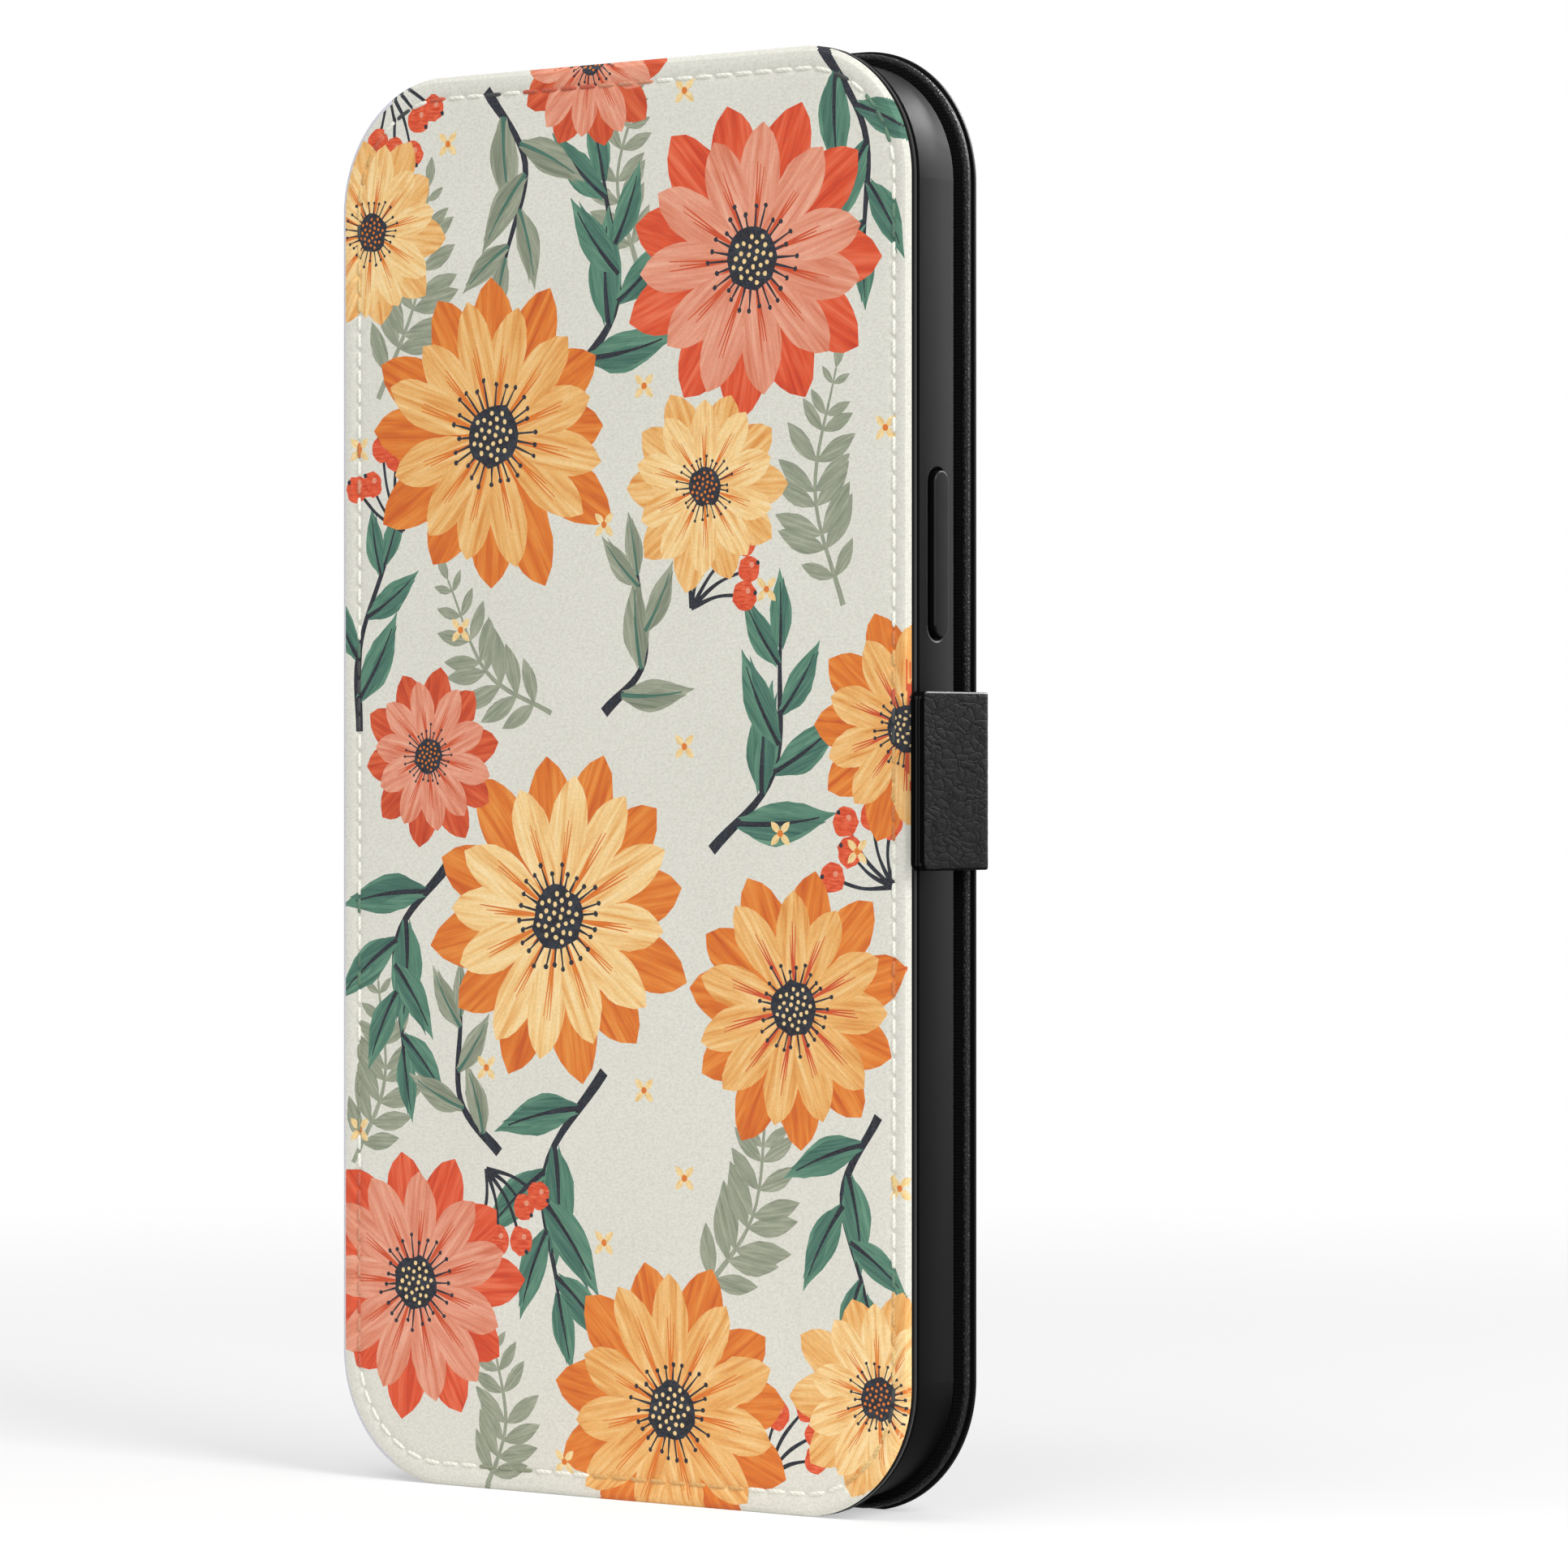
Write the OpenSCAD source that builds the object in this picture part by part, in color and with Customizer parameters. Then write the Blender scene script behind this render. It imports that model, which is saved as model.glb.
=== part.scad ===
// Folio phone case: front and back covers, spine, phone tray with button caps, and a side clasp.
// It stands upright on the lower edges of its covers, front cover towards -Y.

/* [Phone that fits] */
// Width of the phone
phone_w = 77.8; // [66:0.1:96]
// Height of the phone
phone_h = 160.9; // [130:0.1:196]
// Thickness of the phone
phone_t = 7.4; // [6:0.1:10]
// Radius of the phone's corners
phone_r = 12; // [9:0.5:15]

/* [Tray] */
// Clearance around the phone
phone_gap = 0.2; // [0.1:0.05:0.5]
// Thickness of the side walls
wall_t = 2.1; // [1.6:0.1:2.6]
// Thickness of the tray floor
floor_t = 0.75; // [0.6:0.05:1.5]
// Height of the rim above the phone's screen
rim_h = 0.65; // [0.5:0.05:1.2]
// How far the rim's lip reaches over the phone
lip_over = 0.5; // [0.3:0.1:0.8]
// Radius of the tray's rear edge
tray_edge_r = 0.6; // [0.5:0.1:1.4]
// How far the tray's sides bulge
wall_crown = 0.2; // [0.1:0.05:0.3]

/* [Covers] */
// Overhang of the covers past the tray, at the sides
over_side = 1.5; // [1.45:0.05:3]
// Overhang of the covers past the tray, at the ends
over_end = 1.25; // [1:0.05:3]
// Thickness of the front face sheet
front_skin_t = 0.55; // [0.45:0.05:0.8]
// Thickness of the front stiffener
front_board_t = 0.5; // [0.4:0.05:0.8]
// Thickness of the front lining
front_lining_t = 0.35; // [0.3:0.05:0.6]
// Thickness of the back face sheet
back_skin_t = 0.6; // [0.5:0.05:0.8]
// Thickness of the back stiffener
back_board_t = 0.55; // [0.45:0.05:0.8]
// Thickness of the back lining
back_lining_t = 0.45; // [0.3:0.05:0.6]
// Gap between the closed front cover and the tray rim
close_gap = 0.25; // [0.2:0.05:0.5]
// Thickness of the adhesive sheet under the tray
bond_t = 0.15; // [0.1:0.05:0.3]
// How far the stiffeners stay inside the cover edge
board_inset = 0.8; // [0.5:0.1:1.5]
// How far the linings stay inside the cover edge
lining_inset = 0.3; // [0.2:0.1:0.8]

/* [Seams] */
// Distance of the seams from the cover edge
seam_in = 2.6; // [2:0.1:4]
// Width of the thread
thread_w = 0.5; // [0.4:0.05:0.7]
// Thickness of the thread
thread_t = 0.22; // [0.15:0.01:0.3]

/* [Spine] */
// Share of the case height that the spine covers
spine_share = 0.8; // [0.6:0.01:0.85]
// Thickness of the spine leather
spine_leather_t = 0.45; // [0.35:0.05:0.5]
// Thickness of the spine stiffener
spine_board_t = 0.35; // [0.3:0.05:0.4]
// Thickness of the spine lining
spine_lining_t = 0.2; // [0.15:0.05:0.25]
// Width of the spine margins inside the covers
flange_w = 8; // [5:0.5:14]
// Gap at each fold
fold_gap = 0.3; // [0.3:0.05:0.6]

/* [Clasp] */
// Height of the clasp
clasp_h = 20; // [14:0.5:28]
// Thickness of the outer layer
clasp_outer_t = 0.8; // [0.6:0.05:1.2]
// Thickness of the inner layer
clasp_inner_t = 1.05; // [0.9:0.05:1.4]
// How far the free end stands past the front face
clasp_past = 0.3; // [0:0.05:1]
// Gap between the clasp and the cover edges
clasp_gap = 0.3; // [0.3:0.05:0.6]
// Radius of the clasp's corners
clasp_r = 0.9; // [0.5:0.1:2]
// Width of the magnet
magnet_w = 4; // [3:0.5:6]
// Thickness of the magnet
magnet_t = 0.6; // [0.4:0.05:0.8]
// Length of the clasp's margin on the back cover
tongue_w = 12; // [8:0.5:20]
// Thickness of the clasp's margin
tongue_t = 0.42; // [0.36:0.02:0.46]

/* [Buttons] */
// Length of the side button
side_button_l = 19; // [12:0.5:26]
// Height of the side button's centre above mid-height
side_button_up = 25.8; // [15:0.1:40]
// Length of each volume button
volume_l = 10; // [7:0.5:14]
// Height of the lower volume button's centre above mid-height
volume_up = 19; // [10:0.5:30]
// Distance between the volume button centres
volume_step = 14; // [12.5:0.5:20]
// Width of the button caps
cap_w = 2.7; // [2.2:0.1:3.4]
// How far the caps lie behind the phone's middle
cap_back = 0.9; // [0:0.1:0.9]
// How far the side button stands out
side_proud = 0.4; // [0.2:0.05:0.8]
// How far the volume buttons stand out
volume_proud = 0.2; // [0.1:0.05:0.25]
// Clearance around the caps
cap_gap = 0.15; // [0.1:0.05:0.2]

/* [Openings] */
// Width of the camera opening
cam_w = 34; // [26:0.5:42]
// Height of the camera opening
cam_h = 36; // [26:0.5:60]
// Corner radius of the camera opening
cam_r = 9; // [6:0.5:12]
// Distance of the camera opening from the cavity's side and top
cam_in = 5; // [3.5:0.5:9]
// Thickness of the collar around the camera opening
collar_t = 0.8; // [0.6:0.1:1.5]
// Width of the charging port slot
port_w = 14; // [10:0.5:18]
// Height of the charging port slot
port_h = 5.2; // [4.6:0.1:6]
// Width of each speaker slot
speaker_w = 13; // [8:0.5:16]

/* [Card pockets] */
// Width of the pocket panel
pocket_w = 66; // [60:0.5:72]
// Height of the pocket panel
pocket_h = 104; // [90:1:120]
// Thickness of each pocket layer
pocket_t = 0.25; // [0.2:0.05:0.3]
// Height of each card slot strip
slot_h = 24; // [16:0.5:28]
// Gap between card slot strips
slot_gap = 0.6; // [0.4:0.1:1.5]

/* [Hidden] */
$fn = 96;

// Outlines
cav_w = phone_w + 2 * phone_gap;
cav_h = phone_h + 2 * phone_gap;
cav_r = phone_r + phone_gap;
shell_w = cav_w + 2 * wall_t;
shell_h = cav_h + 2 * wall_t;
shell_r = cav_r + wall_t;
cover_w = shell_w + 2 * over_side;
cover_h = shell_h + 2 * over_end;
cover_r = shell_r + over_end;
half_w = cover_w / 2;

// Levels from the back face (0) to the front face (case_t)
z_board = back_skin_t;
z_lining = z_board + back_board_t;
z_bond = z_lining + back_lining_t;
z_shell = z_bond + bond_t;
shell_t = floor_t + phone_t + rim_h;
crown_r = (pow(shell_t / 2, 2) + pow(wall_crown, 2)) / (2 * wall_crown);
z_rim = z_shell + shell_t;
z_front = z_rim + close_gap;
z_front_board = z_front + front_lining_t;
z_front_skin = z_front_board + front_board_t;
case_t = z_front_skin + front_skin_t;
z_phone = z_shell + floor_t + phone_t / 2;

// Seam groove
groove_w = thread_w + 0.1;
groove_t = thread_t + 0.06;
seam_w = cover_w - 2 * seam_in;
seam_h = cover_h - 2 * seam_in;
seam_r = cover_r - seam_in;

// Spine and clasp
spine_l = spine_share * cover_h;
spine_z0 = z_bond + fold_gap;
spine_z1 = z_front - fold_gap;
clasp_x0 = half_w + clasp_gap;
clasp_x1 = clasp_x0 + clasp_inner_t;
clasp_x2 = clasp_x1 + clasp_outer_t;
clasp_end = case_t + clasp_past;
magnet_l = clasp_h - 6;
magnet_z = clasp_end - 1.6 - magnet_w / 2;

// Button caps in the tray wall: flange inside, web in the middle, recess outside
recess_t = 0.4;
flange_bore = 0.75;
flange_t = 0.3;
flange_rim = 1;

// Camera opening, near the top on the side away from the spine
cam_x = cav_w / 2 - cam_in - cam_w / 2;
cam_y = cav_h / 2 - cam_in - cam_h / 2;
window = 2 * collar_t + 0.2;

// Card pockets
pocket_y = -cover_h / 2 + 16 + pocket_h / 2;
z_pocket = z_front - pocket_t;
z_slot = z_pocket - pocket_t;

// Stand the case up and centre it
module stand() {
    translate([-(clasp_x2 - half_w) / 2, case_t / 2, cover_h / 2])
        rotate([90, 0, 0])
            children();
}

// Rounded rectangle
module rrect(w, h, r) {
    square([w - 2 * r, h], center = true);
    square([w, h - 2 * r], center = true);
    for (sx = [-1, 1], sy = [-1, 1])
        translate([sx * (w / 2 - r), sy * (h / 2 - r)])
            circle(r);
}

// Flat sheet with rounded corners, from level z0
module sheet(w, h, r, z0, t) {
    translate([0, 0, z0])
        linear_extrude(height = t)
            rrect(w, h, r);
}

// Sheet that follows the cover outline, set back by an inset
module cover_sheet(inset, z0, t) {
    sheet(cover_w - 2 * inset, cover_h - 2 * inset, cover_r - inset, z0, t);
}

// Section swept around a rounded rectangle: x from its outline, y up
module sweep(w, h, r) {
    for (k = [0, 180])
        rotate([0, 0, k]) {
            translate([w / 2, h / 2 - r, 0])
                rotate([90, 0, 0])
                    linear_extrude(height = h - 2 * r)
                        children();
            rotate([0, 0, 90])
                translate([h / 2, w / 2 - r, 0])
                    rotate([90, 0, 0])
                        linear_extrude(height = w - 2 * r)
                            children();
            translate([w / 2 - r, h / 2 - r, 0])
                rotate_extrude(angle = 90)
                    translate([r, 0])
                        children();
            translate([r - w / 2, h / 2 - r, 0])
                rotate([0, 0, 90])
                    rotate_extrude(angle = 90)
                        translate([r, 0])
                            children();
        }
}

// Band along the seam line
module seam_band(w, z0, t) {
    sweep(seam_w, seam_h, seam_r)
        translate([-w / 2, z0])
            square([w, t]);
}

// Block from corner a to corner b
module block(a, b) {
    translate(a)
        cube(b - a);
}

// Camera opening widened by g, from level z0
module camera_hole(g, z0, t) {
    translate([cam_x, cam_y, 0])
        sheet(cam_w + g, cam_h + g, cam_r + g / 2, z0, t);
}

// Pill lying along the case's height, from x0 to x1
module pill(l, w, x0, x1) {
    translate([x0, 0, 0])
        rotate([90, 0, 90])
            linear_extrude(height = x1 - x0) {
                square([l - w, w], center = true);
                for (s = [-1, 1])
                    translate([s * (l - w) / 2, 0])
                        circle(w / 2);
            }
}

// Slot through the tray's lower wall
module end_slot(x, w, h) {
    translate([x, -cav_h / 2 + 2, z_phone])
        rotate([90, 0, 0])
            linear_extrude(height = wall_t + 4) {
                square([w - h, h], center = true);
                for (s = [-1, 1])
                    translate([s * (w - h) / 2, 0])
                        circle(h / 2);
            }
}

// Side of the tray: 1 right, -1 left
module on_side(s, up) {
    translate([0, up, z_phone - cap_back])
        rotate([0, 0, s > 0 ? 0 : 180])
            children();
}

// Space that a button cap needs in the tray's right wall
module cap_cut(l) {
    x_out = shell_w / 2;
    x_in = cav_w / 2;
    pill(l + 1.2, cap_w + 1.2, x_out - recess_t, x_out + 1);
    pill(l + 2 * cap_gap, cap_w + 2 * cap_gap, x_in - 1, x_out + 1);
    pill(l + 2 * flange_rim + 2 * cap_gap, cap_w + 2 * flange_rim + 2 * cap_gap, x_in - 1, x_in + flange_bore);
}

// Button cap in the tray's right wall
module cap(l, proud) {
    x_in = cav_w / 2;
    f1 = x_in + flange_bore - cap_gap;
    pill(l, cap_w, f1 - flange_t, shell_w / 2 + proud);
    pill(l + 2 * flange_rim, cap_w + 2 * flange_rim, f1 - flange_t, f1);
}

// Section of the tray wall, with a bulging side, a rounded rear edge, a rounded rim and a lip
module wall_section() {
    intersection() {
        union() {
            translate([-wall_t, tray_edge_r])
                square([wall_t, shell_t - tray_edge_r - 0.5]);
            translate([-wall_t, 0])
                square([wall_t - tray_edge_r, tray_edge_r + 1]);
            translate([-tray_edge_r, tray_edge_r])
                circle(tray_edge_r);
            translate([-wall_t - lip_over, shell_t - 0.5])
                square([wall_t + lip_over - 0.5, 0.5]);
            translate([-0.5, shell_t - 0.5])
                circle(0.5);
        }
        translate([-crown_r, shell_t / 2])
            circle(crown_r);
    }
}

// Card slot strip, k counted from the top
module card_slot(k) {
    y0 = pocket_y + pocket_h / 2 - 14 - (k + 1) * slot_h - k * slot_gap;
    block([-pocket_w / 2 + 2, y0, z_slot], [pocket_w / 2 - 2, y0 + slot_h, z_pocket]);
}

module back_skin() {
    color("#262627")
        stand()
            difference() {
                cover_sheet(0, 0, back_skin_t);
                camera_hole(window, -1, back_skin_t + 2);
                seam_band(groove_w, -1, groove_t + 1);
                block([half_w - tongue_w, -clasp_h / 2, -1], [half_w + 1, clasp_h / 2, tongue_t]);
            }
}

module back_board() {
    color("#8a8578")
        stand()
            difference() {
                cover_sheet(board_inset, z_board, back_board_t);
                camera_hole(window, z_board - 1, back_board_t + 2);
                block([-half_w - 1, -spine_l / 2, z_board - 1], [-half_w + flange_w, spine_l / 2, z_lining + 1]);
            }
}

module back_lining() {
    color("#2f2f31")
        stand()
            difference() {
                cover_sheet(lining_inset, z_lining, back_lining_t);
                camera_hole(window, z_lining - 1, back_lining_t + 2);
                block([-half_w - 1, -spine_l / 2, z_lining - 1],
                    [-half_w + spine_leather_t, spine_l / 2, z_bond + 1]);
            }
}

module back_seam() {
    color("#151516")
        stand()
            seam_band(thread_w, groove_t - thread_t, thread_t);
}

module bond_pad() {
    color("#d8d4c6")
        stand()
            difference() {
                sheet(shell_w - 8, shell_h - 8, shell_r - 4, z_bond, bond_t);
                camera_hole(window, z_bond - 1, bond_t + 2);
            }
}

module shell() {
    color("#353538")
        stand()
            difference() {
                union() {
                    translate([0, 0, z_shell])
                        sweep(shell_w, shell_h, shell_r)
                            wall_section();
                    sheet(cav_w + 0.6, cav_h + 0.6, cav_r + 0.3, z_shell, floor_t);
                    camera_hole(2 * collar_t, 0.15, z_shell + floor_t - 0.15);
                }
                camera_hole(0, -1, z_shell + floor_t + 2);
                on_side(1, side_button_up)
                    cap_cut(side_button_l);
                for (k = [0, 1])
                    on_side(-1, volume_up + k * volume_step)
                        cap_cut(volume_l);
                end_slot(0, port_w, port_h);
                for (s = [-1, 1])
                    end_slot(s * (port_w / 2 + 4 + speaker_w / 2), speaker_w, 2.2);
            }
}

module spine_flange_back() {
    color("#202021")
        stand() {
            block([-half_w, -spine_l / 2, z_board], [-half_w + flange_w, spine_l / 2, z_lining]);
            block([-half_w, -spine_l / 2, z_board], [-half_w + spine_leather_t, spine_l / 2, z_bond]);
        }
}

module clasp_tongue() {
    color("#202021")
        stand()
            difference() {
                block([half_w - tongue_w, -clasp_h / 2, 0], [half_w, clasp_h / 2, tongue_t]);
                seam_band(groove_w, -1, groove_t + 1);
            }
}

module side_button_cap() {
    color("#404044")
        stand()
            on_side(1, side_button_up)
                cap(side_button_l, side_proud);
}

module volume_up_cap() {
    color("#404044")
        stand()
            on_side(-1, volume_up + volume_step)
                cap(volume_l, volume_proud);
}

module volume_down_cap() {
    color("#404044")
        stand()
            on_side(-1, volume_up)
                cap(volume_l, volume_proud);
}

module spine_leather() {
    color("#202021")
        stand()
            block([-half_w, -spine_l / 2, spine_z0], [-half_w + spine_leather_t, spine_l / 2, spine_z1]);
}

module spine_board() {
    x0 = -half_w + spine_leather_t;
    color("#8a8578")
        stand()
            block([x0, -spine_l / 2 + 1, spine_z0 + 0.6], [x0 + spine_board_t, spine_l / 2 - 1, spine_z1 - 0.6]);
}

module spine_lining() {
    x0 = -half_w + spine_leather_t + spine_board_t;
    color("#2f2f31")
        stand()
            block([x0, -spine_l / 2 + 0.5, spine_z0 + 0.2], [x0 + spine_lining_t, spine_l / 2 - 0.5, spine_z1 - 0.2]);
}

module front_skin() {
    color("#e9e8de")
        stand()
            difference() {
                cover_sheet(0, z_front_skin, front_skin_t);
                seam_band(groove_w, case_t - groove_t, groove_t + 1);
            }
}

module front_board() {
    color("#8a8578")
        stand()
            difference() {
                cover_sheet(board_inset, z_front_board, front_board_t);
                block([-half_w - 1, -spine_l / 2, z_front_board - 1],
                    [-half_w + flange_w, spine_l / 2, z_front_skin + 1]);
                block([half_w - 7, -clasp_h / 2 + 2, z_front_board - 1],
                    [half_w - 2, clasp_h / 2 - 2, z_front_skin + 1]);
            }
}

module front_lining() {
    color("#2f2f31")
        stand()
            difference() {
                cover_sheet(lining_inset, z_front, front_lining_t);
                block([-half_w - 1, -spine_l / 2, z_front - 1],
                    [-half_w + spine_leather_t, spine_l / 2, z_front_board + 1]);
            }
}

module front_seam() {
    color("#f5f5ee")
        stand()
            seam_band(thread_w, case_t - groove_t, thread_t);
}

module spine_flange_front() {
    color("#202021")
        stand() {
            block([-half_w, -spine_l / 2, z_front_board], [-half_w + flange_w, spine_l / 2, z_front_skin]);
            block([-half_w, -spine_l / 2, z_front], [-half_w + spine_leather_t, spine_l / 2, z_front_skin]);
        }
}

module front_keeper() {
    color("#a8abae")
        stand()
            block([half_w - 7, -clasp_h / 2 + 2, z_front_board], [half_w - 2, clasp_h / 2 - 2, z_front_skin]);
}

module pocket_panel() {
    color("#2a2a2c")
        stand()
            translate([0, pocket_y, 0])
                sheet(pocket_w, pocket_h, 4, z_pocket, pocket_t);
}

module card_slot_upper() {
    color("#262627")
        stand()
            card_slot(0);
}

module card_slot_middle() {
    color("#262627")
        stand()
            card_slot(1);
}

module card_slot_lower() {
    color("#262627")
        stand()
            card_slot(2);
}

// Layer of the clasp from x0 to x1
module clasp_layer(x0, x1) {
    translate([x0, 0, clasp_end / 2])
        rotate([90, 0, 90])
            linear_extrude(height = x1 - x0)
                rrect(clasp_h, clasp_end, clasp_r);
}

module clasp_outer() {
    color("#202021")
        stand()
            clasp_layer(clasp_x1, clasp_x2);
}

module clasp_inner() {
    color("#1a1a1b")
        stand()
            difference() {
                clasp_layer(clasp_x0, clasp_x1);
                block([clasp_x1 - magnet_t - 0.05, -magnet_l / 2 - 0.1, magnet_z - magnet_w / 2 - 0.1],
                    [clasp_x1 + 1, magnet_l / 2 + 0.1, magnet_z + magnet_w / 2 + 0.1]);
            }
}

module clasp_magnet() {
    color("#7c7f82")
        stand()
            block([clasp_x1 - magnet_t, -magnet_l / 2, magnet_z - magnet_w / 2],
                [clasp_x1, magnet_l / 2, magnet_z + magnet_w / 2]);
}

back_skin();
back_board();
back_lining();
back_seam();
bond_pad();
shell();
spine_flange_back();
clasp_tongue();
side_button_cap();
volume_up_cap();
volume_down_cap();
spine_leather();
spine_board();
spine_lining();
front_skin();
front_board();
front_lining();
front_seam();
spine_flange_front();
front_keeper();
pocket_panel();
card_slot_upper();
card_slot_middle();
card_slot_lower();
clasp_outer();
clasp_inner();
clasp_magnet();
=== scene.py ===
import math

import bmesh
import bpy
import numpy as np
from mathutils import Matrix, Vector
from mathutils.bvhtree import BVHTree
from mathutils.geometry import delaunay_2d_cdt

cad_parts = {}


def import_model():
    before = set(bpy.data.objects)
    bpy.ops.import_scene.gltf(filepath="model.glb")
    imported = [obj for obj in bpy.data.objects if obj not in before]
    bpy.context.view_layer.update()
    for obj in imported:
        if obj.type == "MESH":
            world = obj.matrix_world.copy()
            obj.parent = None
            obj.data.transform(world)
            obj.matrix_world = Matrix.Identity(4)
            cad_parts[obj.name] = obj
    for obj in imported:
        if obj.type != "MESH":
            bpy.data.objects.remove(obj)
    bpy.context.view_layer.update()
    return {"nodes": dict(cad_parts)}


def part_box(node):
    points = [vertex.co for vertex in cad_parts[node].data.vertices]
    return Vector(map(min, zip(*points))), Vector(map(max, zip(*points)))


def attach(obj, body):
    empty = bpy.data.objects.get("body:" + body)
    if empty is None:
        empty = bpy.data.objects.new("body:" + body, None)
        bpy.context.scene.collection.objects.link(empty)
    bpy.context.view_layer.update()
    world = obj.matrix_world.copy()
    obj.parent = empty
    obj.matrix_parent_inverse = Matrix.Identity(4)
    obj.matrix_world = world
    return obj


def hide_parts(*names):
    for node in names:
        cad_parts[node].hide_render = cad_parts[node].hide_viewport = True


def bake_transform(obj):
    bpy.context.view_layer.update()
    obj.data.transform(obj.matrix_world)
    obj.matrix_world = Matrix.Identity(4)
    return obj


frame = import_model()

MM = 0.001
NODES = frame["nodes"]


def node_box(name):
    """Lowest and highest corner of a CAD node, in millimetres."""
    lo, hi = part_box(name)
    return np.array(lo) / MM, np.array(hi) / MM


# Sizes of the case, read from the CAD nodes (millimetres).
FS_LO, FS_HI = node_box("front_skin")
BS_LO, BS_HI = node_box("back_skin")
CX = (FS_LO[0] + FS_HI[0]) / 2          # middle of the covers across the case
CZ = (FS_LO[2] + FS_HI[2]) / 2          # mid-height
W, H = FS_HI[0] - FS_LO[0], FS_HI[2] - FS_LO[2]
R = 15.55                               # corner radius of the covers
SEAM_IN = 2.6                           # seam's distance from the edge
Y_FRONT, Y_FRONT_IN = FS_LO[1], FS_HI[1]
Y_BACK, Y_BACK_IN = BS_HI[1], BS_LO[1]
Y_INSIDE = node_box("front_lining")[1][1]       # the front cover's inner face


# ---- colour and node helpers -------------------------------------------------------------------

def srgb(r, g, b):
    """Linear colour from 0-255 display values."""
    out = []
    for c in (r, g, b):
        c /= 255
        out.append(c / 12.92 if c <= 0.04045 else ((c + 0.055) / 1.055) ** 2.4)
    return (*out, 1.0)


class Nodes:
    """Short calls for adding nodes to a node tree."""

    def __init__(self, tree):
        self.tree = tree

    def add(self, kind, inputs=None, **props):
        n = self.tree.nodes.new("ShaderNode" + kind)
        for key, value in props.items():
            setattr(n, key, value)
        for key, value in (inputs or {}).items():
            self.put(n.inputs[key], value)
        return n

    def put(self, socket, value):
        if isinstance(value, bpy.types.NodeSocket):
            self.tree.links.new(value, socket)
        else:
            socket.default_value = value

    def coords(self, kind):
        """Texture coordinates in millimetres: the object's own place, or a UV map's name."""
        if kind == "object":
            return self.stretch(self.add("TexCoord").outputs["Object"], (1 / MM,) * 3)
        return self.add("UVMap", uv_map=kind).outputs["UV"]

    def stretch(self, vec, scale):
        return self.add("VectorMath", {0: vec, 1: scale}, operation="MULTIPLY").outputs[0]

    def noise(self, vec, scale, detail=3.0, rough=0.55, distortion=0.0):
        return self.add("TexNoise", {"Vector": vec, "Scale": scale, "Detail": detail, "Roughness": rough,
                                     "Distortion": distortion}).outputs["Fac"]

    def cells(self, vec, scale):
        """Distance to the sides of scattered cells."""
        return self.add("TexVoronoi", {"Vector": vec, "Scale": scale},
                        feature="DISTANCE_TO_EDGE").outputs["Distance"]

    def bands(self, vec, scale, distortion, way):
        """Soft stripes across a direction."""
        return self.add("TexWave", {"Vector": vec, "Scale": scale, "Distortion": distortion, "Detail": 1.0},
                        wave_type="BANDS", bands_direction=way).outputs["Fac"]

    def drift(self, vec, scale, reach):
        """Coordinates that wander by up to about half of reach, so that cells get curved sides."""
        wander = self.add("TexNoise", {"Vector": vec, "Scale": scale, "Detail": 2.0}).outputs["Color"]
        wander = self.add("VectorMath", {0: wander, 1: (0.5, 0.5, 0.5)}, operation="SUBTRACT").outputs[0]
        return self.add("VectorMath", {0: wander, 1: (reach,) * 3, 2: vec}, operation="MULTIPLY_ADD").outputs[0]

    def ramp(self, fac, stops):
        n = self.add("ValToRGB", {"Fac": fac})
        els = n.color_ramp.elements
        while len(els) < len(stops):
            els.new(0.5)
        for el, (pos, colour) in zip(els, stops):
            el.position, el.color = pos, colour
        return n.outputs["Color"]

    def level(self, fac, lo, hi, a=0.0, b=1.0):
        """Value fac remapped from lo..hi to a..b."""
        return self.add("MapRange", {"Value": fac, "From Min": lo, "From Max": hi,
                                     "To Min": a, "To Max": b}).outputs[0]

    def spread(self, noise, a, b):
        """A noise's usual range remapped to a..b."""
        return self.level(noise, 0.3, 0.7, a, b)

    def math(self, op, a, b):
        return self.add("Math", {0: a, 1: b}, operation=op).outputs[0]

    def sum(self, a, share_a, b, share_b):
        """Sum of two values by shares."""
        return self.math("ADD", self.math("MULTIPLY", a, share_a), self.math("MULTIPLY", b, share_b))

    def mix(self, fac, a, b, how="MIX"):
        n = self.add("Mix", data_type="RGBA", blend_type=how)
        self.put(n.inputs[0], fac)
        self.put(n.inputs[6], a)
        self.put(n.inputs[7], b)
        return n.outputs[2]

    def seen(self):
        """1 for the rays that show the background: camera, glossy and transmission rays."""
        ray = self.add("LightPath").outputs
        mirrored = self.math("MAXIMUM", ray["Is Glossy Ray"], ray["Is Transmission Ray"])
        return self.math("MAXIMUM", ray["Is Camera Ray"], mirrored)


class Mat(Nodes):
    """A node material with a Principled shader."""

    def __init__(self, name, **sockets):
        self.mat = bpy.data.materials.new(name)
        self.mat.use_nodes = True
        super().__init__(self.mat.node_tree)
        self.bsdf = self.tree.nodes["Principled BSDF"]
        for key, value in sockets.items():
            self.bsdf.inputs[key.replace("_", " ")].default_value = value

    def bump(self, height, strength, distance_mm, under=None):
        inputs = {"Height": height, "Strength": strength, "Distance": distance_mm * MM}
        if under is not None:
            inputs["Normal"] = under
        out = self.add("Bump", inputs).outputs["Normal"]
        self.put(self.bsdf.inputs["Normal"], out)
        return out

    def set(self, socket, value):
        self.put(self.bsdf.inputs[socket], value)

    def finish(self, colour, rough, height, strength, distance_mm):
        """Sets the colour, the roughness and a bump, and gives the material."""
        self.set("Base Color", colour)
        self.set("Roughness", rough)
        self.bump(height, strength, distance_mm)
        return self.mat


def grey(v, tint=(1, 1, 1)):
    """Linear colour of one value, slightly tinted where asked."""
    return (v * tint[0], v * tint[1], v * tint[2], 1.0)


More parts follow.
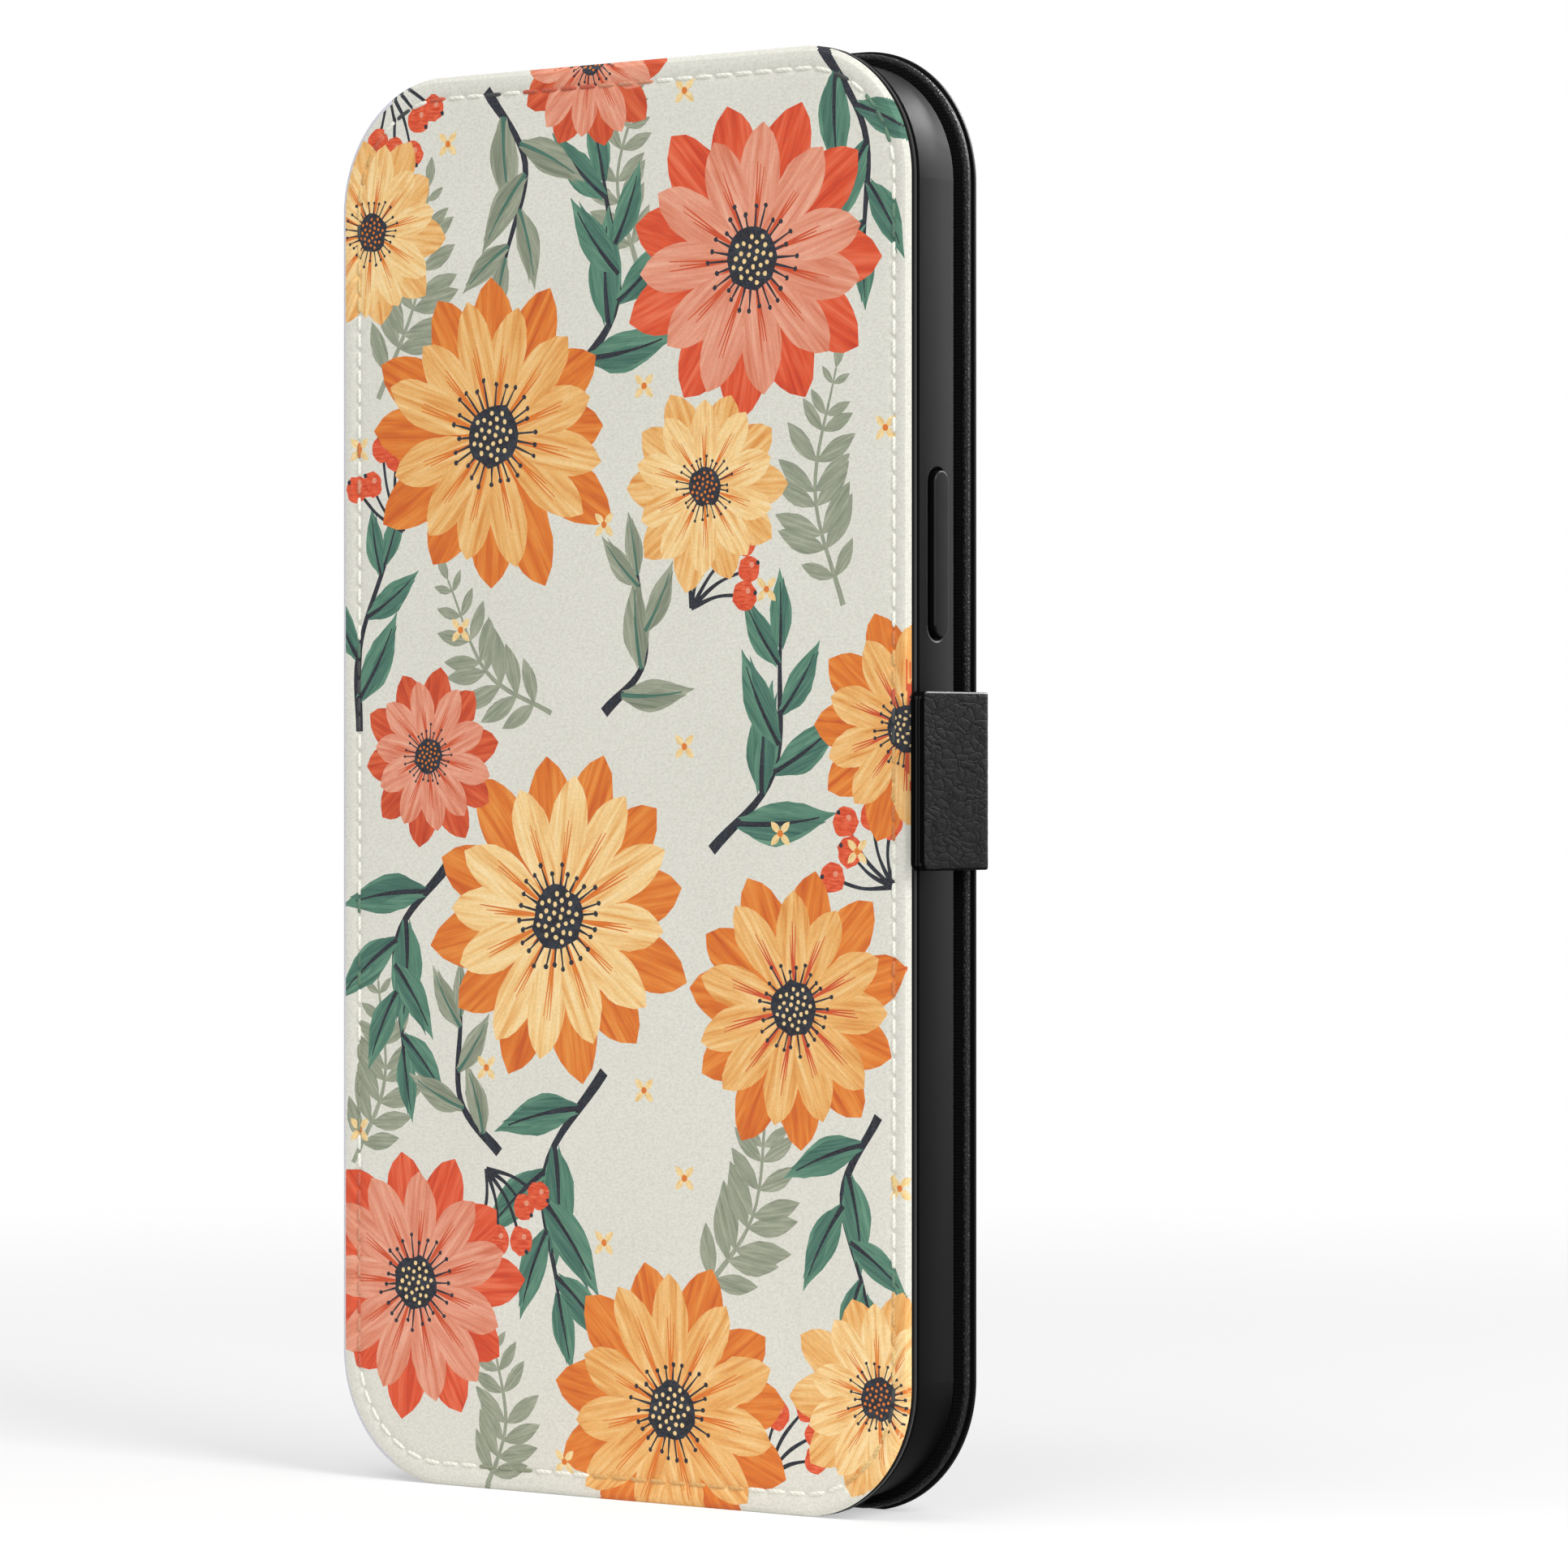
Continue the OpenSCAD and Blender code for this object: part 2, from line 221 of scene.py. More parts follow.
# ---- materials ---------------------------------------------------------------------------------

def face_texture(m):
    """Fine pressed texture of the printed sheet, shared by its ground and inks: short level ridges, and a
    factor that is low in their hollows, where the colour is darkened as painted shade.
    """
    vec = m.coords("object")
    fine = m.noise(vec, 3.6, 4, 0.6)
    ridges = m.noise(m.stretch(vec, (1.0, 1.0, 1.8)), 2.0, 3, 0.5, 0.3)
    height = m.sum(fine, 0.5, ridges, 0.5)
    m.bump(height, 0.24, 0.07)
    m.set("Roughness", m.spread(fine, 0.50, 0.62))
    # Second value: low in the texture's hollows, for painted shade.
    return vec, m.level(height, 0.38, 0.58)


def make_ground(name, low, high):
    """Unprinted face of the sheet."""
    m = Mat(name, Specular_IOR_Level=0.28)
    vec, hollow_shade = face_texture(m)
    cloud = m.noise(vec, 0.05, 2)
    base = m.ramp(cloud, [(0.3, low), (0.7, high)])
    # Painted shade: the ground goes a quarter of the way to a dull brown in the texture's hollows.
    m.set("Base Color", m.mix(hollow_shade, m.mix(0.25, base, srgb(150, 145, 130)), base))
    return m.mat


def make_ink(name, dark, mid, light, across):
    """Ink of one colour: brushed streaks that run along each motif."""
    m = Mat(name, Specular_IOR_Level=0.28)
    _, hollow_shade = face_texture(m)
    uv = m.coords("motif")
    streak = m.noise(m.stretch(uv, (1.3, across, 1)), 1.0, 3, 0.6, 0.3)
    blot = m.noise(uv, 1.7, 2, 0.5)
    fac = m.sum(streak, 0.75, blot, 0.25)
    colour = m.ramp(fac, [(0.34, dark), (0.50, mid), (0.66, light)])
    # Painted shade: the ink goes a seventh of the way to a dull brown in the texture's hollows.
    m.set("Base Color", m.mix(hollow_shade, m.mix(0.14, colour, srgb(120, 110, 95)), colour))
    return m.mat


def make_pebble(name, low, high, rough, shine, size, relief, across=1.0):
    """Pebbled leather of the given cell size (mm): curved creases, smaller wrinkles in places, pores; the
    deeper creases are painted near black as shade.
    """
    m = Mat(name)
    uv = m.coords("grain")
    warped = m.drift(m.stretch(uv, (across, 1.3, 1)), 0.60 / size, 1.5 * size)
    crease = m.level(m.cells(warped, 1 / size), 0.0, 0.09)
    pillow = m.level(m.cells(warped, 1 / size), 0.0, 0.45)
    wrinkle = m.level(m.cells(m.drift(uv, 1.2 / size, 0.8 * size), 2.1 / size), 0.0, 0.30)
    where = m.level(m.noise(uv, 0.30 / size, 2), 0.38, 0.62, 0.05, 0.40)
    deep = m.level(m.noise(uv, 0.45 / size, 2), 0.35, 0.60, 0.25, 1.0)
    pores = m.noise(uv, 6.0, 3, 0.6)
    colour = m.mix(m.noise(uv, 0.12, 2), low, high)
    # Painted shade: the colour goes towards near black in the creases, most where they are deep.
    dark = m.math("MULTIPLY", m.level(crease, 0.0, 0.8, 0.5, 0.0), deep)
    m.set("Base Color", m.mix(dark, colour, grey(0.003)))
    m.set("Specular IOR Level", m.level(crease, 0.0, 0.7, 0.35 * shine, shine))
    m.set("Roughness", m.spread(pores, rough - 0.05, rough + 0.09))
    height = m.math("ADD", pillow, m.math("MULTIPLY", wrinkle, where))
    height = m.math("ADD", m.math("MULTIPLY", crease, deep), height)
    first = m.bump(height, relief, 0.10 * size)
    m.bump(pores, 0.4 * relief, 0.05, first)
    return m.mat


def make_fine_leather(name, low, high, rough, coords="grain", shine=0.28):
    """Fine-grained leather with small tight wrinkles, darker along the creases between its cells as painted
    shade, and varied at random.
    """
    m = Mat(name, Specular_IOR_Level=shine)
    vec = m.coords(coords)
    warped = m.drift(vec, 1.5, 0.55)
    cell = m.level(m.cells(m.stretch(warped, (1, 1.4, 1)), 1.9), 0.0, 0.30)
    pores = m.noise(warped, 5.5, 2)
    height = m.math("ADD", cell, m.math("MULTIPLY", pores, 0.8))
    # Painted shade: darker at the cells' edges, the creases, and varied at random within them.
    colour = m.mix(m.math("MULTIPLY", cell, m.noise(vec, 1.3, 2)), low, high)
    return m.finish(colour, m.spread(pores, rough - 0.06, rough + 0.08), height, 0.85, 0.10)


def make_edge(name, value, rough, shine):
    """Sealed, painted leather edge: smooth, a little uneven."""
    m = Mat(name, Specular_IOR_Level=shine)
    vec = m.coords("object")
    wave = m.noise(m.stretch(vec, (1, 1, 0.35)), 0.9, 2)
    fine = m.noise(vec, 5, 2)
    colour = m.mix(wave, grey(value * 0.75), grey(value * 1.25))
    return m.finish(colour, m.spread(fine, rough - 0.04, rough + 0.08), wave, 0.12, 0.06)


COOL = (1, 1, 1.03)                     # tint of the moulded black plastic


def make_satin(name, value, rough, shine):
    """Moulded plastic with a very fine satin texture and faint handling wear."""
    m = Mat(name, Specular_IOR_Level=shine)
    vec = m.coords("object")
    fine = m.noise(vec, 9, 2, 0.5)
    cloud = m.noise(vec, 0.16, 3)
    colour = m.mix(cloud, grey(value * 0.88, COOL), grey(value * 1.12, COOL))
    worn = m.spread(cloud, -0.02, 0.03)
    return m.finish(colour, m.math("ADD", m.spread(fine, rough - 0.03, rough + 0.05), worn), fine, 0.10, 0.03)


def make_suede(name, value):
    """Short-napped lining cloth."""
    m = Mat(name, Specular_IOR_Level=0.2, Sheen_Weight=0.35, Sheen_Roughness=0.45)
    vec = m.coords("object")
    nap = m.noise(m.stretch(vec, (1, 1, 0.45)), 7, 4, 0.7)
    brush = m.noise(vec, 0.09, 3, 0.6)
    tone = m.sum(nap, 0.6, brush, 0.4)
    colour = m.ramp(tone, [(0.3, grey(value * 0.6)), (0.7, grey(value * 1.5))])
    return m.finish(colour, m.spread(nap, 0.8, 0.95), nap, 0.35, 0.08)


def make_cloth(name, value):
    """Plain-woven lining cloth: over-and-under yarns in two directions, painted lighter where the yarns cross
    on top and darker between them, as highlight and shade.
    """
    m = Mat(name, Specular_IOR_Level=0.06, Sheen_Weight=0.04, Sheen_Roughness=0.4)
    uv = m.coords("grain")
    weave = m.math("MULTIPLY", *(m.bands(uv, 0.78, 0.5, way) for way in ("X", "Y")))
    fuzz = m.noise(uv, 8, 3, 0.7)
    # Painted highlight and shade: the colour follows the weave's height, bright on the yarns' crossings and
    # dark between them.
    m.set("Base Color", m.mix(weave, grey(value * 0.5), grey(value * 2.2)))
    m.set("Roughness", m.spread(fuzz, 0.75, 0.92))
    first = m.bump(weave, 0.7, 0.10)
    m.bump(fuzz, 0.3, 0.05, first)
    return m.mat


def make_thread(name, low, high, sheen, tinted=False):
    """Twisted thread: slanted plies along each stitch, painted lighter on their crowns and darker in the
    grooves between them as shade.
    """
    m = Mat(name, Specular_IOR_Level=0.3, Sheen_Weight=sheen, Sheen_Roughness=0.4)
    uv = m.coords("thread")
    ply = m.bands(uv, 1.0, 0.6, "DIAGONAL")
    fuzz = m.noise(uv, 9, 2)
    # Painted shade: the colour follows the plies' height, darker in the grooves.
    colour = m.mix(ply, low, high)
    if tinted:
        tint = m.add("Attribute", attribute_name="tint").outputs["Color"]
        colour = m.mix(0.94, colour, m.mix(1.0, colour, tint, "MULTIPLY"))
    height = m.math("ADD", ply, m.math("MULTIPLY", fuzz, 0.4))
    return m.finish(colour, m.spread(fuzz, 0.55, 0.75), height, 0.25, 0.04)


def make_board(name, low, high):
    """Pressed fibre sheet."""
    m = Mat(name, Specular_IOR_Level=0.25)
    vec = m.coords("object")
    fibre = m.noise(m.stretch(vec, (1, 4, 0.7)), 1.6, 4, 0.65)
    colour = m.mix(fibre, low, high)
    return m.finish(colour, m.spread(fibre, 0.7, 0.88), fibre, 0.3, 0.06)


def make_steel(name, value):
    """Brushed metal sheet, its streaks level."""
    m = Mat(name, Metallic=1.0)
    vec = m.coords("object")
    brushed = m.noise(m.stretch(vec, (1, 1, 14)), 0.8, 3)
    colour = m.mix(brushed, grey(value * 0.8), grey(value * 1.15))
    return m.finish(colour, m.spread(brushed, 0.28, 0.45), brushed, 0.15, 0.03)


GROUND = make_ground("print_ground", srgb(217, 216, 206), srgb(221, 220, 210))
# The unprinted chamfer on the spine side: the ground's colour made a little darker and bluer as painted shade.
BARE_SHADED = make_ground("print_edge_bare_shaded", srgb(212, 212, 222), srgb(217, 217, 227))
# Dark, middle and light tone of each ink
INK_TONES = {
    "amber": ((214, 138, 62), (231, 176, 104), (241, 203, 142)),
    "pale_amber": ((226, 160, 84), (240, 202, 138), (246, 220, 168)),
    "orange": ((196, 84, 28), (217, 117, 40), (229, 146, 66)),
    "coral": ((206, 112, 82), (222, 144, 116), (232, 170, 144)),
    "rust": ((176, 56, 28), (202, 76, 40), (218, 106, 66)),
    "red": ((190, 54, 28), (216, 80, 44), (229, 112, 78)),
    "green": ((54, 98, 84), (80, 126, 106), (104, 148, 124)),
    "deep_green": ((44, 86, 76), (64, 108, 94), (84, 128, 110)),
    "deep_sage": ((106, 116, 98), (128, 136, 116), (148, 154, 134)),
    "sage": ((122, 132, 112), (145, 152, 132), (168, 172, 152)),
    "navy": ((12, 16, 28), (22, 28, 42), (40, 50, 62)),
    "ochre": ((214, 172, 98), (236, 206, 146), (244, 222, 176)),
}
INKS = {ink: make_ink("ink_" + ink, *(srgb(*tone) for tone in tones), 3.0 if ink == "navy" else 7.0)
        for ink, tones in INK_TONES.items()}
PEBBLE = make_pebble("leather_pebbled", grey(0.013), grey(0.018), 0.46, 0.16, 1.5, 0.36)
# The clasp's face is the back's pebbled leather, given about a third of its colour and gloss: painted shade.
PEBBLE_CLASP_SHADED = make_pebble("leather_clasp", grey(0.0045), grey(0.0065), 0.48, 0.055, 1.35, 0.22, 0.68)
FINE = make_fine_leather("leather_fine", grey(0.003), grey(0.012), 0.44, shine=0.16)
POCKET = make_fine_leather("leather_pocket", grey(0.008), grey(0.016), 0.48, "object")
EDGE = make_edge("edge_paint", 0.003, 0.42, 0.06)
EDGE_GLOSS = make_edge("edge_gloss", 0.004, 0.44, 0.13)
EDGE_FRONT = make_edge("edge_front", 0.004, 0.40, 0.46)
EDGE_BEAD = make_edge("edge_bead", 0.003, 0.30, 0.15)
EDGE_SOFT = make_edge("edge_soft", 0.006, 0.40, 0.10)
# An extra-black, nearly matt copy of the edge paint, for edges where shade falls: painted shade.
EDGE_BLACK_SHADE = make_edge("edge_black_shade", 0.001, 0.50, 0.015)
# Wide spread from near black to dark grey, so that the creases' painted shade shows strongly on the edge.
EDGE_GRAIN = make_fine_leather("leather_edge", grey(0.002), grey(0.036), 0.40, "object", 0.19)
SHELL = make_satin("shell_satin", 0.003, 0.44, 0.026)
CAP = make_satin("cap_satin", 0.003, 0.40, 0.028)
RUBBED = make_satin("rubbed_rim", 0.003, 0.30, 0.26)
SUEDE = make_suede("lining_suede", 0.014)
CLOTH = make_cloth("lining_cloth", 0.003)
THREAD_PALE = make_thread("thread_pale", srgb(214, 214, 202), srgb(232, 232, 221), 0.06, True)
THREAD_DARK = make_thread("thread_dark", grey(0.006), grey(0.016), 0.2)
BOARD = make_board("board_dark", grey(0.010), grey(0.020))
FILM = make_board("adhesive_film", srgb(196, 192, 178), srgb(216, 212, 200))
STEEL = make_steel("steel", 0.5)
MAGNET = make_steel("magnet_plate", 0.36)


# ---- mesh helpers ------------------------------------------------------------------------------

def make_object(name, verts, faces, mats, mat_index=None, uvs=None, sharp_deg=50, tints=None):
    """Mesh object from points in millimetres.

    uvs: {map name: one pair per face corner}; tints: a colour per point.
    """
    me = bpy.data.meshes.new(name)
    me.from_pydata((np.asarray(verts, float) * MM).tolist(), [], [list(map(int, f)) for f in faces])
    for m in mats:
        me.materials.append(m)
    if mat_index is not None:
        me.polygons.foreach_set("material_index", np.asarray(mat_index, np.int32))
    for key, data in (uvs or {}).items():
        layer = me.uv_layers.new(name=key)
        layer.data.foreach_set("uv", np.asarray(data, np.float32).ravel())
    if tints is not None:
        colours = np.asarray(tints, np.float32).ravel()
        me.attributes.new("tint", "FLOAT_COLOR", "POINT").data.foreach_set("color", colours)
    bm = bmesh.new()
    bm.from_mesh(me)
    bmesh.ops.recalc_face_normals(bm, faces=bm.faces[:])
    bm.to_mesh(me)
    bm.free()
    me.polygons.foreach_set("use_smooth", np.ones(len(me.polygons), bool))
    me.set_sharp_from_angle(angle=math.radians(sharp_deg))
    me.update()
    return link_object(name, me)


def link_object(name, data):
    """New object in the scene."""
    obj = bpy.data.objects.new(name, data)
    bpy.context.scene.collection.objects.link(obj)
    return obj


def settle(obj, body, slot, *nodes):
    """Ties a piece to its body and hides the CAD nodes that it stands for; the slot is not used."""
    if nodes:
        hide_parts(*nodes)
    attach(obj, body)


def tube(rows, n, closed):
    """Faces between rows of n points each, each row a ring."""
    return [(i * n + j, i * n + (j + 1) % n, (i + 1) % rows * n + (j + 1) % n, (i + 1) % rows * n + j)
            for i in range(rows if closed else rows - 1) for j in range(n)]


def triangulate(points, edges=()):
    """Constrained Delaunay triangles. Returns (points, triangles, source index of each point or -1)."""
    flat = [Vector(map(float, p)) for p in points]
    v, _, f, src, _, _ = delaunay_2d_cdt(flat, list(edges), [], 0, 1e-6, True)
    ids = np.array([s[0] if s else -1 for s in src])
    return np.array([p[:] for p in v]), np.array(f, int), ids


def loop_edges(start, count):
    """Edges of a closed loop of points, numbered from start."""
    return [(start + i, start + (i + 1) % count) for i in range(count)]


def inside_polygon(pts, poly):
    """Which points lie inside a polygon."""
    x, y = pts.T
    out = np.zeros(len(pts), bool)
    for (ax, ay), (bx, by) in zip(poly, np.roll(poly, -1, axis=0)):
        if ay != by:
            cross = (ay > y) != (by > y)
            out ^= cross & (x < (bx - ax) * (y - ay) / (by - ay) + ax)
    return out


def normed(v):
    """Rows scaled to length 1."""
    return v / np.linalg.norm(v, axis=1)[:, None]


class Outline:
    """Rounded rectangle in a flat domain (millimetres)."""

    def __init__(self, w, h, r, c=(0.0, 0.0)):
        self.core, self.r, self.c = np.array([w / 2 - r, h / 2 - r]), r, np.array(c, float)

    def dist(self, p):
        """Distance inside the outline, negative outside."""
        q = np.abs(p - self.c) - self.core
        return self.r - np.hypot(*np.clip(q, 0, None).T) - np.minimum(q.max(axis=1), 0)

    def outward(self, p):
        """Direction to the nearest side."""
        rel = p - self.c
        q = np.abs(rel) - self.core
        g = np.clip(q, 0, None)
        flat = g.sum(axis=1) < 1e-9
        g[flat] = (q[flat] >= q[flat].max(axis=1)[:, None]).astype(float)
        g *= np.where(rel < 0, -1, 1)
        return normed(g)

    def loop(self, inset, step=0.55):
        """Points along the outline set back by an inset, as many for every inset."""
        r = self.r - inset
        arc = max(4, int(math.pi / 2 * self.r / step))
        out = []
        for k, (sx, sz) in enumerate(((1, 1), (-1, 1), (-1, -1), (1, -1))):
            corner = self.c + self.core * (sx, sz)
            for i in range(arc + 1):
                a = math.pi / 2 * (k + i / arc)
                out.append(corner + r * np.array([math.cos(a), math.sin(a)]))
            run = 2 * self.core[k % 2]
            n = int(run / step)
            d = np.array([(-1, 0), (0, -1), (1, 0), (0, 1)][k], float)
            out += [out[-1] + d * run * (i + 1) / (n + 1) for i in range(n)]
        return np.array(out)


TOP, RIM, WALL, UNDER = range(4)
# Rim profiles: (run outwards, drop) as shares of the rim's width
ROUND = [(math.sin(math.pi / 12 * k), 1 - math.cos(math.pi / 12 * k)) for k in range(1, 7)]
CHAMFER = [(0.06, 0.01), (0.16, 0.06), (0.40, 0.21), (0.70, 0.41), (0.92, 0.55), (1.0, 0.62)]
WALL_ROWS = 4                           # rows of points around a sheet's lower rim


def sheet(out, e, place, lift, thick, rim_loop, points, edges=(), hole=None, hole_loop=None, e2=0.08,
          under_points=(), profile=ROUND):
    """Closed sheet over an outline, with a shaped rim of width e above and a rounded one of radius e2 below.

    place(p, h) maps a place and a height to a point; lift(p, ids) is the face's height, ids the row of each
    point in points (or -1); thick is the depth, or thick(p) where it varies. Returns the vertices, the faces,
    the faces' tags, and the domain place of each vertex.
    """
    deep = thick if callable(thick) else lambda p: np.full(len(p), thick)
    loops = [rim_loop] + ([hole_loop] if hole else [])
    pts = np.vstack(loops + [points])
    cons, at = [], 0
    for l in loops:
        cons += loop_edges(at, len(l))
        at += len(l)
    cons += [(a + at, b + at) for a, b in edges]

    def depth_in(p):
        d = out.dist(p)
        return np.minimum(d, -hole.dist(p)) if hole else d

    p, tri, ids = triangulate(pts, cons)
    ids = np.where(ids >= at, ids - at, -1)
    tri = tri[depth_in(p[tri].mean(axis=1)) > e - 1e-4]
    used, tri = np.unique(tri, return_inverse=True)
    tri = tri.reshape(-1, 3)
    p, ids = p[used], ids[used]
    n = len(p)
    half = np.vstack([tri[:, [0, 1]], tri[:, [1, 2]], tri[:, [2, 0]]])
    rim = half[~np.isin(half[:, 0] * n + half[:, 1], half[:, 1] * n + half[:, 0])]
    rp = np.unique(rim)
    index = -np.ones(n, int)
    index[rp] = np.arange(len(rp))
    q = p[rp]
    away = out.outward(q)
    if hole:
        at_hole = -hole.dist(q) < out.dist(q)
        away[at_hole] = -hole.outward(q)[at_hole]
    h0 = lift(p, ids)
    rows = [(q + away * e * run, h0[rp] - e * drop, RIM) for run, drop in profile]
    edge = q + away * e
    base = -deep(edge)
    for k in range(WALL_ROWS):
        a = math.pi / 2 * k / (WALL_ROWS - 1)
        rows.append((edge - away * e2 * (1 - math.cos(a)), base + e2 * (1 - math.sin(a)), WALL))
    dom, verts = [p], [place(p, h0)]
    faces, tags = [tuple(t) for t in tri], [TOP] * len(tri)
    prev = rp
    for k, (where, h, tag) in enumerate(rows):
        now = n + k * len(rp) + np.arange(len(rp))
        dom.append(where)
        verts.append(place(where, h))
        for a, b in rim:
            i, j = index[a], index[b]
            faces.append((prev[j], prev[i], now[i], now[j]))
            tags.append(tag)
        prev = now
    low = rows[-1][0]
    extra = np.asarray(under_points, float).reshape(-1, 2)
    u, utri, usrc = triangulate(np.vstack([low, extra]), [(index[a], index[b]) for a, b in rim])
    utri = utri[depth_in(u[utri].mean(axis=1)) > e2 - 1e-4]
    free = [i for i in np.unique(utri) if not 0 <= usrc[i] < len(rp)]
    first = n + len(rows) * len(rp)
    number = {i: first + k for k, i in enumerate(free)}
    if free:
        dom.append(u[free])
        verts.append(place(u[free], -deep(u[free])))
    for t in utri:
        faces.append(tuple(number[i] if i in number else prev[usrc[i]] for i in reversed(t)))
        tags.append(UNDER)
    return np.vstack(verts), faces, np.array(tags), np.vstack(dom)


def middles(faces, places):
    """Middle of each face."""
    return np.array([places[list(f)].mean(axis=0) for f in faces])


def bell(x, mid, reach):
    """Smooth swelling of height 1 around a middle value."""
    return np.exp(-((x - mid) / reach) ** 2)


def corner_uvs(faces, per_vertex):
    """A vertex value for each corner of each face."""
    return per_vertex[np.concatenate([np.asarray(f) for f in faces])]


# ---- cover outline and seam --------------------------------------------------------------------

COVER = Outline(W, H, R)
HX, HZ = COVER.core                     # corner centres
SEAM_R = R - SEAM_IN
SEAM_ARC = math.pi / 2 * SEAM_R
SEAM_LEN = 4 * (HX + HZ) + 2 * math.pi * SEAM_R
PITCH = 2.2                             # stitch pitch on the upright sides
LEVEL_SHARE = 0.76                      # stitches per length on level runs, against the upright ones
RING_STEPS = 8                          # mesh points per stitch along the seam
SEAM_INSETS = (1.15, 1.45, 1.8, 2.1, 2.35, 2.6, 2.85, 3.1, 3.6, 4.3)    # rows of mesh points beside the seam
DRAWN = 0.42                            # reach of the dip beside the seam, and of that at a needle hole


def seam_point(s):
    """Place and outward direction on the seam line, s millimetres along it."""
    s %= SEAM_LEN
    for k, (nx, nz) in enumerate(((1, 0), (0, 1), (-1, 0), (0, -1))):
        run = 2 * (HX if k % 2 else HZ)
        if s <= run:
            return (nx * (HX + SEAM_R) - nz * (s - HX), nz * (HZ + SEAM_R) + nx * (s - HZ)), (nx, nz)
        s -= run
        if s <= SEAM_ARC or k == 3:
            ang = math.pi / 2 * k + s / SEAM_R
            n = (math.cos(ang), math.sin(ang))
            return ((nx - nz) * HX + SEAM_R * n[0], (nz + nx) * HZ + SEAM_R * n[1]), n
        s -= SEAM_ARC


SEAM_S = np.linspace(0, SEAM_LEN, 4001)
SEAM_SHARE = [math.hypot(n[0], LEVEL_SHARE * n[1])
              for _, n in map(seam_point, (SEAM_S[1:] + SEAM_S[:-1]) / 2)]
SEAM_COUNT = np.concatenate([[0], np.cumsum(SEAM_SHARE)])
STITCHES = round(SEAM_COUNT[-1] * SEAM_S[1] / PITCH)
SEAM_COUNT *= STITCHES / SEAM_COUNT[-1]


def stitch_at(k):
    """Length along the seam at stitch number k, whole numbers at the needle holes."""
    return float(np.interp(k, SEAM_COUNT, SEAM_S))


SEAM_P, SEAM_D = (np.array(x) for x in zip(*(seam_point(stitch_at(i / RING_STEPS))
                                             for i in range(RING_STEPS * STITCHES))))
HOLES = SEAM_P[::RING_STEPS]


def ring(inset, every=2):
    """Points of the outline set back by an inset, in step with the stitches."""
    return (SEAM_P + SEAM_D * (SEAM_IN - inset))[::every]


def seam_dip(p, depth):
    """How far the face is drawn in along the seam, most at the needle holes."""
    off = COVER.dist(p) - SEAM_IN
    at_hole = np.zeros(len(p))
    near = np.where(np.abs(off) < 1.0)[0]
    for k in range(0, len(near), 4000):             # in parts, to save memory
        part = near[k:k + 4000]
        gap = np.min(np.hypot(*(p[part, None, i] - HOLES[None, :, i] for i in (0, 1))), axis=1)
        at_hole[part] = bell(gap, 0, DRAWN)
    return depth * bell(off, 0, DRAWN) * (0.55 + 0.9 * at_hole)


def world(p, y):
    """Places in the case's own plane and a depth, as points in millimetres."""
    return np.column_stack([p[:, 0] + CX, np.broadcast_to(y, len(p)), p[:, 1] + CZ])


# ---- generic print for the front ---------------------------------------------------------------

FLORETS, GOLDEN = 26, 2.399963          # a daisy's florets and the angle between them
# Places are in millimetres from the cover's middle.
# Stems: three points, number of leaves (or pairs of leaflets), their size, ink
FRONDS = (
    ((-37, 46), (-31, 58), (-29, 71), 9, 7.4),
    ((12, -60), (20, -50), (22, -37), 9, 7.6),
    ((33, 20), (29, 33), (32, 47), 9, 7.0),
    ((-10, 8), (-20, 13), (-26, 24), 8, 6.6),
    ((-41, -46), (-36, -36), (-37, -24), 8, 6.6),
    ((-20, -84), (-17, -76), (-19, -66), 7, 6.4),
    ((3, 60), (0, 70), (3, 80), 7, 5.8),
)
SPRIGS = (
    ((-8, 46), (0, 56), (-2, 70), 6, 13.5, "green"),
    ((14, -8), (23, 1), (24, 15), 6, 13.0, "green"),
    ((-26, -10), (-34, -19), (-33, -32), 6, 12.5, "green"),
    ((-2, -34), (-11, -46), (-9, -60), 6, 13.5, "green"),
    ((38, -38), (33, -47), (36, -58), 5, 12.0, "green"),
    ((-20, 82), (-14, 73), (-17, 62), 5, 11.5, "sage"),
    ((29, 85), (36, 74), (36, 62), 5, 12.0, "green"),
    ((-2, 8), (4, 14), (3, 24), 4, 10.5, "sage"),
    ((-40, 6), (-40, 16), (-36, 26), 4, 11.0, "green"),
    ((-18, -44), (-24, -38), (-24, -28), 4, 9.5, "sage"),
)
# Base, angle, size
BERRIES = (
    ((-33, 30), 1.9, 9.5), ((11, 20), 0.8, 10), ((22, -80), 1.0, 9.5),
    ((40, -12), 2.3, 9.0), ((-20, -46), -1.0, 9.0), ((-36, 84), -1.1, 9.0),
)
# Inner petals, outer petals, lines, florets
DAISY_INKS = {
    "coral": ("coral", "red", "rust", "ochre"),
    "gold": ("amber", "orange", "orange", "ochre"),
    "pale": ("pale_amber", "amber", "orange", "orange"),
    "light": ("pale_amber", "orange", "orange", "ochre"),
    "rusty": ("amber", "orange", "rust", "ochre"),
    "rose": ("coral", "rust", "rust", "orange"),
}
